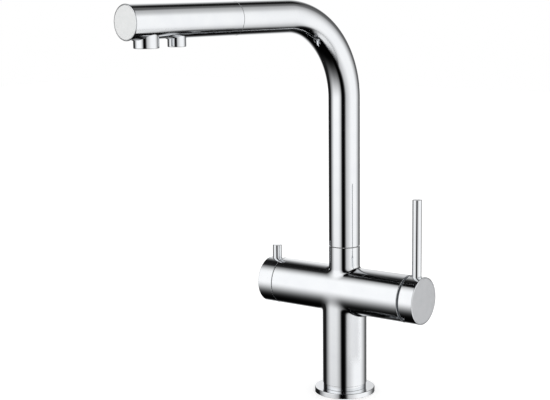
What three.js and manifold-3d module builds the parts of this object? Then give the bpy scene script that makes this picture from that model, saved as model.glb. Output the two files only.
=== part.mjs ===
// Three way filtered water tap, in millimetres, +Z up.
// The origin is the centre of the base's underside. The barrel lies along X, with the hot and
// cold mixer at +X and the filtered water valve at -X. The spout points forward, towards -Y,
// swung a little towards -X. Both handles stand upright, which is closed.
import * as THREE from "three";
import { mergeVertices } from "three/addons/utils/BufferGeometryUtils.js";
import Module from "manifold-3d";

const wasm = await Module();
wasm.setup();

// ---- Driving dimensions -------------------------------------------------------------------

const gap = 0.3; // clearance between neighbouring pieces
const past = 1; // how far a cutter runs past the face it opens
const finest = 0.01; // details below this size are left out of a cut or joined piece
const sides = { large: 32, medium: 20, small: 10, hexagon: 6 };

const flange = { radius: 27.4, height: 4.5, chamfer: 0.6, bore: 16 };
const sealGroove = { inset: 2.4, width: 5, depth: 1.6 };
const column = { inset: 1, footInset: 0.5, footHeight: 7.2 }; // inset from the barrel's radius
const barrel = { radius: 21, axis: 95, half: 67, chamfer: 0.8, wall: 3.4 };
const neck = { radius: 14, wall: 3.5, aboveBarrel: 19.4, floorBelowTop: 11 }; // the barrel's top
const blendRadius = 3; // the casting's rolled blends where upright and barrel meet

const port = { radius: 4.4, ring: 10, belowAxis: 2, angles: [73, -73, 180] }; // hot, cold, filtered
const stud = { radius: 3.4, depth: 20, offset: 11 }; // hole for the fixing stud
const waterway = { radius: 3, offset: 4, web: 1.2 }; // cross drillings; offset is off the axis

const swivel = { wall: 2.8, lift: 3, rise: 16, ringLifts: [4, 12] };
const ringGroove = { width: 2.6, depth: 1.3 };
const bearing = { width: 2, depth: 1.4 };
const lock = { radius: 2.3, length: 4, below: 4.4, groove: 1.2 };

const spout = {
  radius: 14,
  wall: 1.5,
  axis: 342, // height of the level arm
  bend: 70, // radius of the bend's centre line
  seam: 132.5, // where the outlet head joins the arm, from the tap's axis
  reach: 243, // from the tap's axis to the end of the head
  chamfer: 0.8,
  restTurn: -9, // degrees from straight ahead
};
const joint = { wall: 1.6, half: 11 }; // sleeve inside the arm's seam
const endDisc = { lip: 0.9, thickness: 1.6, plug: 6, sunk: 0.1 };
const outletDrop = 6.2; // how far the outlets stand below the arm
const mainOutlet = { radius: 10, wall: 1.4, fromEnd: 20, jets: 8 };
const filterOutlet = { radius: 7.3, wall: 1.4, fromEnd: 50.5, jets: 6 };
const insert = { recess: 0.8, height: 8, washer: 1.7 };
const innerTube = { radius: 4, wall: 1 };
const elbow = { wall: 1.9, below: 6.7, above: 6, roof: 1.5 };

const cap = {
  length: 15.5, // from the barrel's end to the cap's face
  wall: 1.8,
  chamfer: 0.8,
  web: 3.5, // from the barrel's end to where the cap is solid
  disc: 1.6,
  discLip: 1.1,
};
const tiltRoom = { rim: 2, pocket: 7.4, below: 2.5, boss: 2 }; // clearances for the tilting cap
const lever = { radius: 4, offset: 8.2, seat: 9, chamfer: 0.5, mixerTop: 184, filterTop: 128 };
const capScrew = { radius: 2, head: 3.6, bite: 8, web: 0.9, key: 1.6 };
const stemReach = 10; // how far stem and spindle stand out of the barrel

const cartridge = {
  depth: 31, // from the barrel's end to its seat
  clearance: 0.5,
  seal: 1.1,
  base: 4.7,
  fixedDisc: 2,
  movingDisc: 3.1,
  wall: 0.7,
  pivotDepth: 16, // from the barrel's end to the stem's pin
  shoulderDepth: 7, // from the barrel's end to the nut's seat
  neck: 3,
  mouth: 9.5,
};
const rotor = { inset: 4, discInset: 1.6, tilt: 18 }; // inset from the cartridge's bore
const stem = { radius: 3.6, heel: 2.6, pin: 1.5 };
const trimRing = { inset: 2.1, wall: 1.5, width: 1.3 };
const valve = {
  depth: 30,
  radius: 10.3,
  length: 14.6,
  hexagon: 15.4,
  hexLength: 5.7,
  neck: 7.5,
  neckLength: 4,
  chamber: 8.6,
  disc: 2.2,
  spindle: 4,
  slot: 1.6,
};

// ---- Places worked out from them ----------------------------------------------------------

const capFace = barrel.half + cap.length;
const leverPlace = barrel.half + lever.offset;
const stemEnd = barrel.half + stemReach;
const columnRadius = barrel.radius - column.inset;
const neckTop = barrel.axis + barrel.radius + neck.aboveBarrel;
const neckFloor = barrel.axis + barrel.radius - neck.floorBelowTop;
const neckBore = neck.radius - neck.wall;
const spoutFoot = neckTop + 2 * gap;
const spoutBore = spout.radius - spout.wall;
const cartridgeBore = barrel.radius - barrel.wall;
const rotorRadius = cartridgeBore - rotor.inset;
const mixerSeat = barrel.half - cartridge.depth;
const filterSeat = barrel.half - valve.depth;
const elbowFoot = spout.axis - elbow.below;
const outletFoot = spout.axis - spout.radius - outletDrop;

// ---- Finishes -----------------------------------------------------------------------------

const finish = (color, roughness, metalness) =>
  new THREE.MeshStandardMaterial({ color, roughness, metalness });
const chrome = () => finish("#e4e6e8", 0.06, 1);
const satinChrome = () => finish("#c4c6ca", 0.3, 1);
const brass = () => finish("#c9a45c", 0.35, 1);
const steel = () => finish("#b9bcc0", 0.35, 1);
const rubber = () => finish("#1d1e20", 0.8, 0);
const acetal = () => finish("#e9eae6", 0.45, 0);
const greyPlastic = () => finish("#8d9196", 0.45, 0);
const ceramic = () => finish("#f3efe6", 0.25, 0);

// ---- Shape helpers ------------------------------------------------------------------------

// A solid of revolution from [radius, distance along the axis] points.
function turned(profile, axis, around = sides.large) {
  const points = profile.map(([radius, along]) => new THREE.Vector2(radius, along));
  if (THREE.ShapeUtils.area(points) < 0) points.reverse();
  const isSolid = points.some((point) => point.x === 0);
  if (!isSolid) points.push(points[0].clone());
  while (isSolid && !(points[0].x === 0 && points.at(-1).x === 0)) points.push(points.shift());
  const geometry = new THREE.LatheGeometry(points, around);
  if (axis === "x") geometry.rotateZ(-Math.PI / 2);
  if (axis === "z") geometry.rotateX(Math.PI / 2);
  return geometry;
}

const rod = (radius, from, to, axis, around) =>
  turned([[0, from], [radius, from], [radius, to], [0, to]], axis, around);

const tube = (outer, inner, from, to, axis, around) =>
  turned([[inner, from], [outer, from], [outer, to], [inner, to]], axis, around);

// A rod across the others, along Y.
const crossRod = (radius, from, to) =>
  rod(radius, from, to, "z", sides.small).rotateX(-Math.PI / 2);

const moved = (geometry, x, y, z) => geometry.translate(x, y, z);

const block = ([x0, x1], [y0, y1], [z0, z1]) =>
  moved(
    new THREE.BoxGeometry(x1 - x0, y1 - y0, z1 - z0),
    (x0 + x1) / 2,
    (y0 + y1) / 2,
    (z0 + z1) / 2,
  );

function solidOf(geometry) {
  const bare = geometry.clone();
  bare.deleteAttribute("normal");
  bare.deleteAttribute("uv");
  const merged = mergeVertices(bare, 1e-4);
  return new wasm.Manifold(
    new wasm.Mesh({
      numProp: 3,
      vertProperties: new Float32Array(merged.attributes.position.array),
      triVerts: new Uint32Array(merged.index.array),
    }),
  );
}

function geometryOf(solid) {
  const mesh = solid.simplify(finest).getMesh();
  const geometry = new THREE.BufferGeometry();
  geometry.setAttribute("position", new THREE.BufferAttribute(mesh.vertProperties, 3));
  geometry.setIndex(new THREE.BufferAttribute(mesh.triVerts, 1));
  geometry.computeVertexNormals();
  return geometry;
}

const joined = (...parts) =>
  geometryOf(parts.map(solidOf).reduce((whole, part) => whole.add(part)));

const cut = (geometry, ...cutters) =>
  geometryOf(cutters.reduce((rest, cutter) => rest.subtract(solidOf(cutter)), solidOf(geometry)));

// ---- Scene graph --------------------------------------------------------------------------

const tap = new THREE.Group();
const body = new THREE.Group();
const barrelAxis = new THREE.Group();
const spoutGroup = new THREE.Group();
barrelAxis.position.z = barrel.axis;
spoutGroup.rotation.z = THREE.MathUtils.degToRad(spout.restTurn - 90);
tap.add(body, barrelAxis, spoutGroup);

function piece(group, name, geometry, material) {
  const mesh = new THREE.Mesh(geometry, material);
  mesh.name = name;
  group.add(mesh);
}

// ---- Base ---------------------------------------------------------------------------------

const sealOuter = flange.radius - sealGroove.inset;
const sealInner = sealOuter - sealGroove.width;

piece(
  body,
  "base_flange",
  turned(
    [
      [flange.bore, 0],
      [sealInner, 0],
      [sealInner, sealGroove.depth],
      [sealOuter, sealGroove.depth],
      [sealOuter, 0],
      [flange.radius, 0],
      [flange.radius, flange.height - flange.chamfer],
      [flange.radius - flange.chamfer, flange.height],
      [flange.bore, flange.height],
    ],
    "z",
  ),
  chrome(),
);
piece(
  body,
  "base_seal",
  tube(sealOuter - gap, sealInner + gap, 0, sealGroove.depth - gap, "z"),
  rubber(),
);

// ---- Body casting -------------------------------------------------------------------------

// The blend rolled between the barrel and an upright cylinder: side is 1 above the barrel and
// -1 below it. It is a ring of sections, each an arc that touches both cylinders, closed by
// one corner that lies buried in the metal. The touching points lie just under both surfaces.
function blend(uprightRadius, side) {
  const arcSteps = 3;
  const corners = arcSteps + 2;
  const sunk = 0.03;
  const buried = 1.5;
  const upright = uprightRadius - sunk;
  const across = barrel.radius - 2 * sunk;
  const ring = new THREE.TorusGeometry(1, 0.5, corners, sides.large);
  const place = ring.attributes.position;
  const corner = new THREE.Vector3();
  for (let i = 0; i < place.count; i++) {
    const turn = ((i % (sides.large + 1)) / sides.large) * 2 * Math.PI;
    const step = Math.floor(i / (sides.large + 1)) % corners;
    const [cos, sin] = [Math.cos(turn), Math.sin(turn)];
    const height = (reach, off) => side * Math.sqrt(reach ** 2 - (off * sin) ** 2);
    if (step > arcSteps) {
      const inset = upright - buried;
      corner.set(inset * cos, inset * sin, height(across - buried, inset));
    } else {
      const reach = upright + blendRadius;
      const rise = height(across + blendRadius, reach);
      const scale = across / (across + blendRadius);
      const centre = new THREE.Vector3(reach * cos, reach * sin, rise);
      const onUpright = new THREE.Vector3(upright * cos, upright * sin, rise);
      const onBarrel = new THREE.Vector3(centre.x, centre.y * scale, centre.z * scale);
      corner.lerpVectors(onUpright, onBarrel, step / arcSteps).sub(centre);
      corner.setLength(blendRadius).add(centre);
    }
    place.setXYZ(i, corner.x, corner.y, corner.z);
  }
  if (side > 0) ring.index.array.reverse();
  return moved(ring, 0, 0, barrel.axis);
}

const acrossBody = (geometry) => moved(geometry, 0, 0, barrel.axis);
const footTop = flange.height + gap + column.footHeight;
const casting = joined(
  rod(flange.bore - gap, 0, flange.height + past, "z"),
  rod(columnRadius - column.footInset, flange.height + gap, footTop + past, "z"),
  rod(columnRadius, footTop, barrel.axis, "z"),
  acrossBody(
    turned(
      [
        [0, -barrel.half],
        [barrel.radius - barrel.chamfer, -barrel.half],
        [barrel.radius, -barrel.half + barrel.chamfer],
        [barrel.radius, barrel.half - barrel.chamfer],
        [barrel.radius - barrel.chamfer, barrel.half],
        [0, barrel.half],
      ],
      "x",
    ),
  ),
  rod(neck.radius, barrel.axis, neckTop, "z"),
  blend(columnRadius, -1),
  blend(neck.radius, 1),
);

// The three inlets rise through the column: hot and cold to the mixer's seat, and filtered
// water to the other valve's seat, from where it returns to the socket of the inner tube. The
// mixed water enters the neck's bore beside that socket, a web away from it.
const [hot, cold, filtered] = port.angles.map((angle) => {
  const turn = THREE.MathUtils.degToRad(angle);
  return { x: port.ring * Math.cos(turn), y: port.ring * Math.sin(turn) };
});
const mixedRise = neckFloor - barrel.axis + waterway.radius - past;
const socketFloor = barrel.axis + waterway.offset + waterway.radius + past;
const tubeSocket = innerTube.radius + gap * 1.3;
const mixedStart = tubeSocket + waterway.web;
const portTop = barrel.axis - port.belowAxis;
const lockHeight = neckTop - lock.below;

const riser = (radius, from, to, { x, y }) =>
  moved(rod(radius, from, to, "z", sides.small), x, y, 0);
const drilling = (from, to, y, rise) =>
  acrossBody(moved(rod(waterway.radius, from, to, "x", sides.small), 0, y, rise));
const axis = { x: 0, y: 0 };

piece(
  body,
  "tap_body",
  cut(
    casting,
    ...[hot, cold, filtered].map((inlet) => riser(port.radius, -past, portTop, inlet)),
    riser(stud.radius, -past, stud.depth, { x: stud.offset, y: 0 }),
    drilling(hot.x, mixerSeat + past, hot.y, -waterway.offset),
    drilling(cold.x, mixerSeat + past, cold.y, -waterway.offset),
    drilling(mixedStart, mixerSeat + past, 0, mixedRise),
    drilling(filtered.x, -filterSeat - past, 0, -waterway.offset),
    drilling(0, -filterSeat - past, 0, waterway.offset),
    acrossBody(rod(cartridgeBore, mixerSeat, barrel.half + past, "x")),
    acrossBody(rod(valve.radius + gap, -filterSeat, -barrel.half, "x")),
    acrossBody(rod(cartridgeBore, -filterSeat - valve.length - past, -barrel.half - past, "x")),
    riser(waterway.radius - gap, barrel.axis + waterway.offset, socketFloor + past, axis),
    riser(tubeSocket, socketFloor, neckFloor + past, axis),
    rod(neckBore, neckFloor, neckTop + past, "z", sides.medium),
    rod(neckBore + bearing.width, neckTop - bearing.depth, neckTop + past, "z", sides.medium),
    moved(crossRod(lock.radius + gap, neckBore - past, neck.radius + past), 0, 0, lockHeight),
  ),
  chrome(),
);

// ---- Swivel joint of the spout ------------------------------------------------------------

const sleeveRadius = neckBore - gap;
const sleeveBore = sleeveRadius - swivel.wall;
const sleeveFoot = neckFloor + swivel.lift;
const lockFloor = sleeveRadius - lock.groove;
const ringFloor = sleeveRadius - ringGroove.depth;

piece(
  body,
  "spout_bearing_ring",
  tube(
    neckBore + bearing.width - gap,
    neckBore,
    neckTop - bearing.depth + gap,
    neckTop + gap,
    "z",
    sides.medium,
  ),
  acetal(),
);
piece(
  body,
  "spout_lock_screw",
  moved(crossRod(lock.radius, lockFloor + gap, lockFloor + gap + lock.length), 0, 0, lockHeight),
  steel(),
);
piece(
  spoutGroup,
  "spout_swivel_sleeve",
  turned(
    [
      [sleeveBore, sleeveFoot],
      [sleeveRadius, sleeveFoot],
      ...swivel.ringLifts.flatMap((lift) => [
        [sleeveRadius, sleeveFoot + lift],
        [ringFloor, sleeveFoot + lift],
        [ringFloor, sleeveFoot + lift + ringGroove.width],
        [sleeveRadius, sleeveFoot + lift + ringGroove.width],
      ]),
      [sleeveRadius, lockHeight - lock.radius - gap],
      [lockFloor, lockHeight - lock.radius - gap],
      [lockFloor, lockHeight + lock.radius + gap],
      [sleeveRadius, lockHeight + lock.radius + gap],
      [sleeveRadius, spoutFoot],
      [spoutBore - gap, spoutFoot],
      [spoutBore - gap, spoutFoot + swivel.rise],
      [sleeveBore, spoutFoot + swivel.rise],
    ],
    "z",
    sides.medium,
  ),
  brass(),
);
["spout_oring_lower", "spout_oring_upper"].forEach((name, index) => {
  const foot = sleeveFoot + swivel.ringLifts[index];
  const squeeze = gap / 3;
  piece(
    spoutGroup,
    name,
    tube(
      sleeveRadius + squeeze,
      ringFloor + squeeze,
      foot + gap,
      foot + ringGroove.width - gap,
      "z",
      sides.medium,
    ),
    rubber(),
  );
});

// ---- Spout --------------------------------------------------------------------------------

class Bend extends THREE.Curve {
  getPoint(t, target = new THREE.Vector3()) {
    const turn = (t * Math.PI) / 2;
    const [out, up] = [spout.bend * (1 - Math.cos(turn)), spout.bend * Math.sin(turn)];
    return target.set(out, 0, spout.axis - spout.bend + up);
  }
}

// The line that the spout follows, from a foot on the tap's axis to a distance along the arm.
function spoutLine(foot, reach) {
  const line = new THREE.CurvePath();
  const bendFoot = new THREE.Vector3(0, 0, spout.axis - spout.bend);
  const bendEnd = new THREE.Vector3(spout.bend, 0, spout.axis);
  line.add(new THREE.LineCurve3(new THREE.Vector3(0, 0, foot), bendFoot));
  line.add(new Bend());
  line.add(new THREE.LineCurve3(bendEnd, new THREE.Vector3(reach, 0, spout.axis)));
  return line;
}

function pipe(outer, inner, line, around) {
  const steps = 28;
  const circle = (radius) =>
    Array.from({ length: around }, (_, i) => {
      const turn = (i / around) * 2 * Math.PI;
      return new THREE.Vector2(radius * Math.cos(turn), radius * Math.sin(turn));
    });
  const ring = new THREE.Shape(circle(outer));
  ring.holes.push(new THREE.Path(circle(inner)));
  return new THREE.ExtrudeGeometry(ring, { steps, extrudePath: line });
}

const armPiece = (geometry) => moved(geometry, 0, 0, spout.axis);
const filterPlace = spout.reach - filterOutlet.fromEnd;
const elbowBore = innerTube.radius + 2 * gap;
const tubeEnd = filterPlace - elbowBore;

piece(
  spoutGroup,
  "spout_tube",
  pipe(spout.radius, spoutBore, spoutLine(spoutFoot, spout.seam), sides.medium),
  chrome(),
);
piece(
  spoutGroup,
  "filtered_water_tube",
  pipe(
    innerTube.radius,
    innerTube.radius - innerTube.wall,
    spoutLine(socketFloor + gap, tubeEnd),
    sides.small,
  ),
  acetal(),
);
piece(
  spoutGroup,
  "filtered_tube_oring",
  tube(
    sleeveBore - past,
    innerTube.radius + gap / 2,
    neckFloor + gap,
    neckFloor + ringGroove.width - gap,
    "z",
    sides.medium,
  ),
  rubber(),
);
piece(
  spoutGroup,
  "arm_joint_sleeve",
  armPiece(
    tube(
      spoutBore - gap,
      spoutBore - gap - joint.wall,
      spout.seam - joint.half,
      spout.seam + joint.half,
      "x",
      sides.medium,
    ),
  ),
  brass(),
);

// ---- Outlet head --------------------------------------------------------------------------

const discBack = spout.reach - endDisc.thickness - gap;
const outletHole = ({ radius, fromEnd }) =>
  moved(rod(radius + gap, outletFoot, elbowFoot + past, "z"), spout.reach - fromEnd, 0, 0);

piece(
  spoutGroup,
  "outlet_head",
  cut(
    armPiece(
      turned(
        [
          [spoutBore, spout.seam + gap],
          [spout.radius, spout.seam + gap],
          [spout.radius, spout.reach - spout.chamfer],
          [spout.radius - spout.chamfer, spout.reach],
          [spout.radius - endDisc.lip, spout.reach],
          [spout.radius - endDisc.lip, discBack],
          [spoutBore, discBack],
        ],
        "x",
      ),
    ),
    outletHole(mainOutlet),
    outletHole(filterOutlet),
  ),
  chrome(),
);
piece(
  spoutGroup,
  "outlet_end_disc",
  armPiece(
    turned(
      [
        [0, spout.reach - endDisc.plug],
        [spoutBore - gap, spout.reach - endDisc.plug],
        [spoutBore - gap, discBack + gap],
        [spout.radius - endDisc.lip - gap / 2, discBack + gap],
        [spout.radius - endDisc.lip - gap / 2, spout.reach - endDisc.sunk],
        [0, spout.reach - endDisc.sunk],
      ],
      "x",
    ),
  ),
  satinChrome(),
);

// One outlet: a chrome collar, a plastic insert pierced by jets, and a washer above it.
function outlet([collarName, insertName, washerName], { radius, wall, fromEnd, jets }) {
  const bore = radius - wall;
  const foot = outletFoot + insert.recess;
  const top = foot + insert.height;
  const jetRing = bore * 0.58;
  const places = [[0, 0]];
  for (let i = 0; i < jets; i++) {
    const turn = (i / jets) * 2 * Math.PI;
    places.push([jetRing * Math.cos(turn), jetRing * Math.sin(turn)]);
  }
  const jetCutters = places.map(([x, y]) =>
    moved(rod(bore / jets, foot - past, top + past, "z", sides.hexagon), x, y, 0),
  );
  const placed = (geometry) => moved(geometry, spout.reach - fromEnd, 0, 0);
  const collar = tube(radius, bore, outletFoot, elbowFoot - gap, "z", sides.medium);
  const core = cut(rod(bore - gap, foot, top, "z", sides.medium), ...jetCutters);
  const washer = tube(bore - gap, bore * 0.6, top + gap, top + insert.washer, "z", sides.medium);
  piece(spoutGroup, collarName, placed(collar), chrome());
  piece(spoutGroup, insertName, placed(core), greyPlastic());
  piece(spoutGroup, washerName, placed(washer), rubber());
}
outlet(["aerator_collar", "aerator_insert", "aerator_washer"], mainOutlet);
outlet(["filter_nozzle_collar", "filter_nozzle_insert", "filter_nozzle_washer"], filterOutlet);

const elbowTop = spout.axis + elbow.above;
piece(
  spoutGroup,
  "filter_nozzle_elbow",
  moved(
    cut(
      rod(elbowBore + elbow.wall, elbowFoot, elbowTop, "z", sides.medium),
      rod(elbowBore, elbowFoot - past, elbowTop - elbow.roof, "z", sides.medium),
      armPiece(rod(innerTube.radius + gap, -2 * elbowBore, 0, "x", sides.small)),
    ),
    filterPlace,
    0,
    0,
  ),
  brass(),
);

// ---- Mixer cartridge ----------------------------------------------------------------------

const cartridgeRadius = cartridgeBore - cartridge.clearance;
const housingBore = cartridgeRadius - cartridge.wall;
const sealFoot = mixerSeat + gap;
const baseFoot = sealFoot + cartridge.seal + gap;
const fixedFoot = baseFoot + cartridge.base + gap;
const movingFoot = fixedFoot + cartridge.fixedDisc + gap;
const rotorFoot = movingFoot + cartridge.movingDisc + gap;
const pivot = barrel.half - cartridge.pivotDepth;
const shoulder = barrel.half - cartridge.shoulderDepth;
const mixerPorts = [
  [hot.y, -waterway.offset],
  [cold.y, -waterway.offset],
  [0, mixedRise],
];
const ported = (radius, from, to) =>
  cut(
    rod(radius, from, to, "x", sides.medium),
    ...mixerPorts.map(([y, z]) =>
      moved(rod(waterway.radius, from - past, to + past, "x", sides.small), 0, y, z),
    ),
  );

piece(
  barrelAxis,
  "cartridge_seal",
  ported(cartridgeRadius - gap, sealFoot, sealFoot + cartridge.seal),
  rubber(),
);
piece(
  barrelAxis,
  "cartridge_base",
  ported(cartridgeRadius, baseFoot, baseFoot + cartridge.base),
  greyPlastic(),
);
piece(
  barrelAxis,
  "ceramic_disc_fixed",
  ported(housingBore - gap, fixedFoot, fixedFoot + cartridge.fixedDisc),
  ceramic(),
);
piece(
  barrelAxis,
  "cartridge_housing",
  turned(
    [
      [housingBore, fixedFoot],
      [cartridgeRadius, fixedFoot],
      [cartridgeRadius, shoulder],
      [rotorRadius, shoulder],
      [rotorRadius, shoulder + cartridge.neck],
      [cartridge.mouth, shoulder + cartridge.neck],
      [cartridge.mouth, shoulder + gap],
      [housingBore, shoulder - cartridge.neck],
    ],
    "x",
    sides.medium,
  ),
  greyPlastic(),
);

const nutFront = barrel.half - past;
const wrench = { depth: 2, half: 2 };
const slot = [nutFront - wrench.depth, barrel.half];
const acrossNut = [-barrel.radius, barrel.radius];
const slotWidth = [-wrench.half, wrench.half];
piece(
  barrelAxis,
  "cartridge_nut",
  cut(
    tube(cartridgeRadius, rotorRadius + gap, shoulder + gap, nutFront, "x"),
    block(slot, slotWidth, acrossNut),
    block(slot, acrossNut, slotWidth),
  ),
  brass(),
);
const trimOuter = barrel.radius - trimRing.inset;
const trimFoot = barrel.half + gap / 2;
piece(
  barrelAxis,
  "mixer_trim_ring",
  tube(trimOuter, trimOuter - trimRing.wall, trimFoot, trimFoot + trimRing.width, "x"),
  greyPlastic(),
);

// The moving disc has a water chamber on one face, and a slot for the stem's heel on the other.
const chamber = { half: 5, depth: 1.1, rim: 2 };
const movingRadius = rotorRadius - rotor.discInset;
piece(
  barrelAxis,
  "ceramic_disc_moving",
  cut(
    rod(movingRadius, movingFoot, rotorFoot - gap, "x", sides.medium),
    block(
      [movingFoot - past, movingFoot + chamber.depth],
      [-chamber.half, chamber.half],
      [-chamber.half, movingRadius - chamber.rim],
    ),
    block(
      [rotorFoot - gap - chamber.depth - gap, rotorFoot],
      [-chamber.half, chamber.half],
      [-chamber.half, chamber.half],
    ),
  ),
  ceramic(),
);

// Room that the stem needs in the rotor at a distance from its pin, tilted all the way.
const tiltSlope = Math.tan(THREE.MathUtils.degToRad(rotor.tilt));
const stemRoom = (x) => stem.radius * 1.1 + tiltSlope * Math.abs(x - pivot) + 2 * gap;
const pinRod = (radius, half) => moved(crossRod(radius, -half, half), pivot, 0, 0);
const rotorFront = shoulder - 2 * gap;
piece(
  barrelAxis,
  "cartridge_rotor",
  cut(
    turned(
      [
        [stemRoom(rotorFoot) + past, rotorFoot],
        [rotorRadius, rotorFoot],
        [rotorRadius, rotorFront - cartridge.neck],
        [rotorRadius - cartridge.neck, rotorFront],
        [stemRoom(rotorFront), rotorFront],
        [stemRoom(pivot), pivot],
      ],
      "x",
      sides.medium,
    ),
    pinRod(stem.pin + gap / 2, rotorRadius + past),
  ),
  acetal(),
);
piece(barrelAxis, "stem_pivot_pin", pinRod(stem.pin, rotorRadius - 2 * gap), steel());
piece(
  barrelAxis,
  "mixer_stem",
  cut(
    rod(stem.radius, pivot - stem.heel, stemEnd, "x", sides.medium),
    pinRod(stem.pin + gap / 2, stem.radius + past),
    rod(capScrew.radius + gap / 2, stemEnd - capScrew.bite - past, stemEnd + past, "x", sides.small),
  ),
  steel(),
);

// ---- Handles ------------------------------------------------------------------------------

// One end cap, its screw, the disc that hides the screw, and the pin lever. Side is 1 for the
// mixer and -1 for the filtered water valve; rim is where the cap starts, off the barrel's end.
function handle(prefix, side, rim, stemRadius, leverTop, ...pockets) {
  const x = (value) => side * value;
  const capDisc = capFace - cap.disc - gap / 2;
  const start = barrel.half + rim;
  const solid = barrel.half + cap.web;
  const seatFront = stemEnd + gap + capScrew.web;
  const inner = barrel.radius - cap.wall;
  const shell = turned(
    [
      [0, x(solid)],
      [inner, x(solid)],
      [inner, x(start)],
      [barrel.radius - cap.chamfer / 2, x(start)],
      [barrel.radius, x(start + cap.chamfer / 2)],
      [barrel.radius, x(capFace - cap.chamfer)],
      [barrel.radius - cap.chamfer, x(capFace)],
      [barrel.radius - cap.discLip, x(capFace)],
      [barrel.radius - cap.discLip, x(capDisc)],
      [0, x(capDisc)],
    ],
    "x",
  );
  const leverHole = rod(lever.radius + gap / 2, lever.seat, barrel.radius + past, "z", sides.medium);
  const screw = turned(
    [
      [0, x(stemEnd - capScrew.bite)],
      [capScrew.radius, x(stemEnd - capScrew.bite)],
      [capScrew.radius, x(seatFront + gap)],
      [capScrew.head, x(seatFront + gap)],
      [capScrew.head, x(capDisc - gap)],
      [0, x(capDisc - gap)],
    ],
    "x",
    sides.small,
  );
  const pin = turned(
    [
      [0, lever.seat + gap],
      [lever.radius, lever.seat + gap],
      [lever.radius, leverTop - barrel.axis - lever.chamfer],
      [lever.radius - lever.chamfer, leverTop - barrel.axis],
      [0, leverTop - barrel.axis],
    ],
    "z",
    sides.medium,
  );
  piece(
    barrelAxis,
    prefix + "_cap",
    cut(
      shell,
      rod(stemRadius + gap, x(solid - past), x(stemEnd + gap), "x", sides.medium),
      rod(capScrew.radius + gap, x(stemEnd), x(capFace), "x", sides.small),
      rod(capScrew.head + gap, x(seatFront), x(capFace), "x", sides.small),
      moved(leverHole, x(leverPlace), 0, 0),
      ...pockets,
    ),
    chrome(),
  );
  piece(
    barrelAxis,
    prefix + "_cap_screw",
    cut(screw, rod(capScrew.key, x(capDisc - capScrew.key), x(capFace), "x", sides.hexagon)),
    steel(),
  );
  piece(
    barrelAxis,
    prefix + "_end_disc",
    rod(barrel.radius - cap.discLip - gap / 2, x(capDisc + gap / 2), x(capFace - endDisc.sunk), "x"),
    satinChrome(),
  );
  piece(barrelAxis, prefix + "_lever", moved(pin, x(leverPlace), 0, 0), chrome());
}

// When the mixer's handle tilts, the barrel's lower rim enters this pocket. The stem's boss
// stays.
const pocketFloor = barrel.half + tiltRoom.pocket;
const rimPocket = cut(
  rod(barrel.radius - cap.wall, barrel.half, pocketFloor, "x"),
  block([0, capFace], [-barrel.radius, barrel.radius], [-tiltRoom.below, barrel.radius]),
  rod(stem.radius + tiltRoom.boss, 0, capFace, "x", sides.medium),
);
handle("mixer", 1, tiltRoom.rim, stem.radius, lever.mixerTop, rimPocket);
handle("filter", -1, gap, valve.spindle, lever.filterTop);

// ---- Filtered water valve -----------------------------------------------------------------

const valveFoot = filterSeat + cartridge.seal + 2 * gap;
const hexFoot = filterSeat + valve.length + past + gap;
const hexTop = hexFoot + valve.hexLength;
const valveFront = hexTop + valve.neckLength;
const filterFixed = valveFoot + gap;
const filterMoving = filterFixed + valve.disc + gap;
const driver = filterMoving + valve.disc + gap;
const chamberTop = driver + valve.disc + 2 * gap;
const valveDiscRadius = valve.chamber - gap - 0.1;
const spindleHole = valve.spindle + gap;
const discPort = (rise) =>
  moved(rod(valve.spindle / 2, -filterSeat + past, -filterMoving + gap, "x", sides.small), 0, 0, rise);
const discPorts = () => [discPort(waterway.offset), discPort(-waterway.offset)];

piece(
  barrelAxis,
  "filter_valve_seal",
  cut(
    rod(valve.radius - gap, -filterSeat - gap, -filterSeat - gap - cartridge.seal, "x", sides.medium),
    ...discPorts(),
  ),
  rubber(),
);
piece(
  barrelAxis,
  "filter_valve_body",
  cut(
    joined(
      rod(valve.radius, -valveFoot, -hexFoot - past, "x", sides.medium),
      rod(valve.hexagon, -hexFoot, -hexTop, "x", sides.hexagon),
      rod(valve.neck, -hexTop + past, -valveFront, "x", sides.medium),
    ),
    rod(valve.chamber, -valveFoot + past, -chamberTop, "x", sides.medium),
    rod(spindleHole, -chamberTop + past, -valveFront - past, "x", sides.medium),
  ),
  brass(),
);
piece(
  barrelAxis,
  "filter_disc_fixed",
  cut(
    rod(valveDiscRadius, -filterFixed, -filterFixed - valve.disc, "x", sides.medium),
    ...discPorts(),
  ),
  ceramic(),
);
const slotReach = [valve.spindle - 1.4, valve.chamber];
const slotLength = [-filterMoving - valve.disc - past, -filterMoving + past];
piece(
  barrelAxis,
  "filter_disc_moving",
  cut(
    rod(valveDiscRadius, -filterMoving, -filterMoving - valve.disc, "x", sides.medium),
    block(slotLength, [-valve.slot, valve.slot], slotReach),
    block(slotLength, [-valve.slot, valve.slot], [-slotReach[1], -slotReach[0]]),
  ),
  ceramic(),
);
piece(
  barrelAxis,
  "filter_spindle",
  cut(
    turned(
      [
        [0, -driver],
        [valveDiscRadius, -driver],
        [valveDiscRadius, -driver - valve.disc],
        [valve.spindle, -driver - valve.disc],
        [valve.spindle, -stemEnd],
        [0, -stemEnd],
      ],
      "x",
      sides.medium,
    ),
    rod(capScrew.radius + gap / 2, -stemEnd + capScrew.bite + past, -stemEnd - past, "x", sides.small),
  ),
  brass(),
);

export default tap;
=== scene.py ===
"""Visual model of a three way filtered water tap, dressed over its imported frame.

Sizes are in millimetres and angles in degrees unless a name says otherwise. The frame is the
part's own: the origin is under the centre of the base, +Z is up, the barrel lies along X with
the mixer at +X, and the spout's arm points towards -Y, swung a little towards -X.
"""

import sys
import logging
import math
from collections.abc import Sequence
from dataclasses import dataclass
from enum import Enum

import bmesh
import bpy
from mathutils import Matrix, Vector


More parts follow.
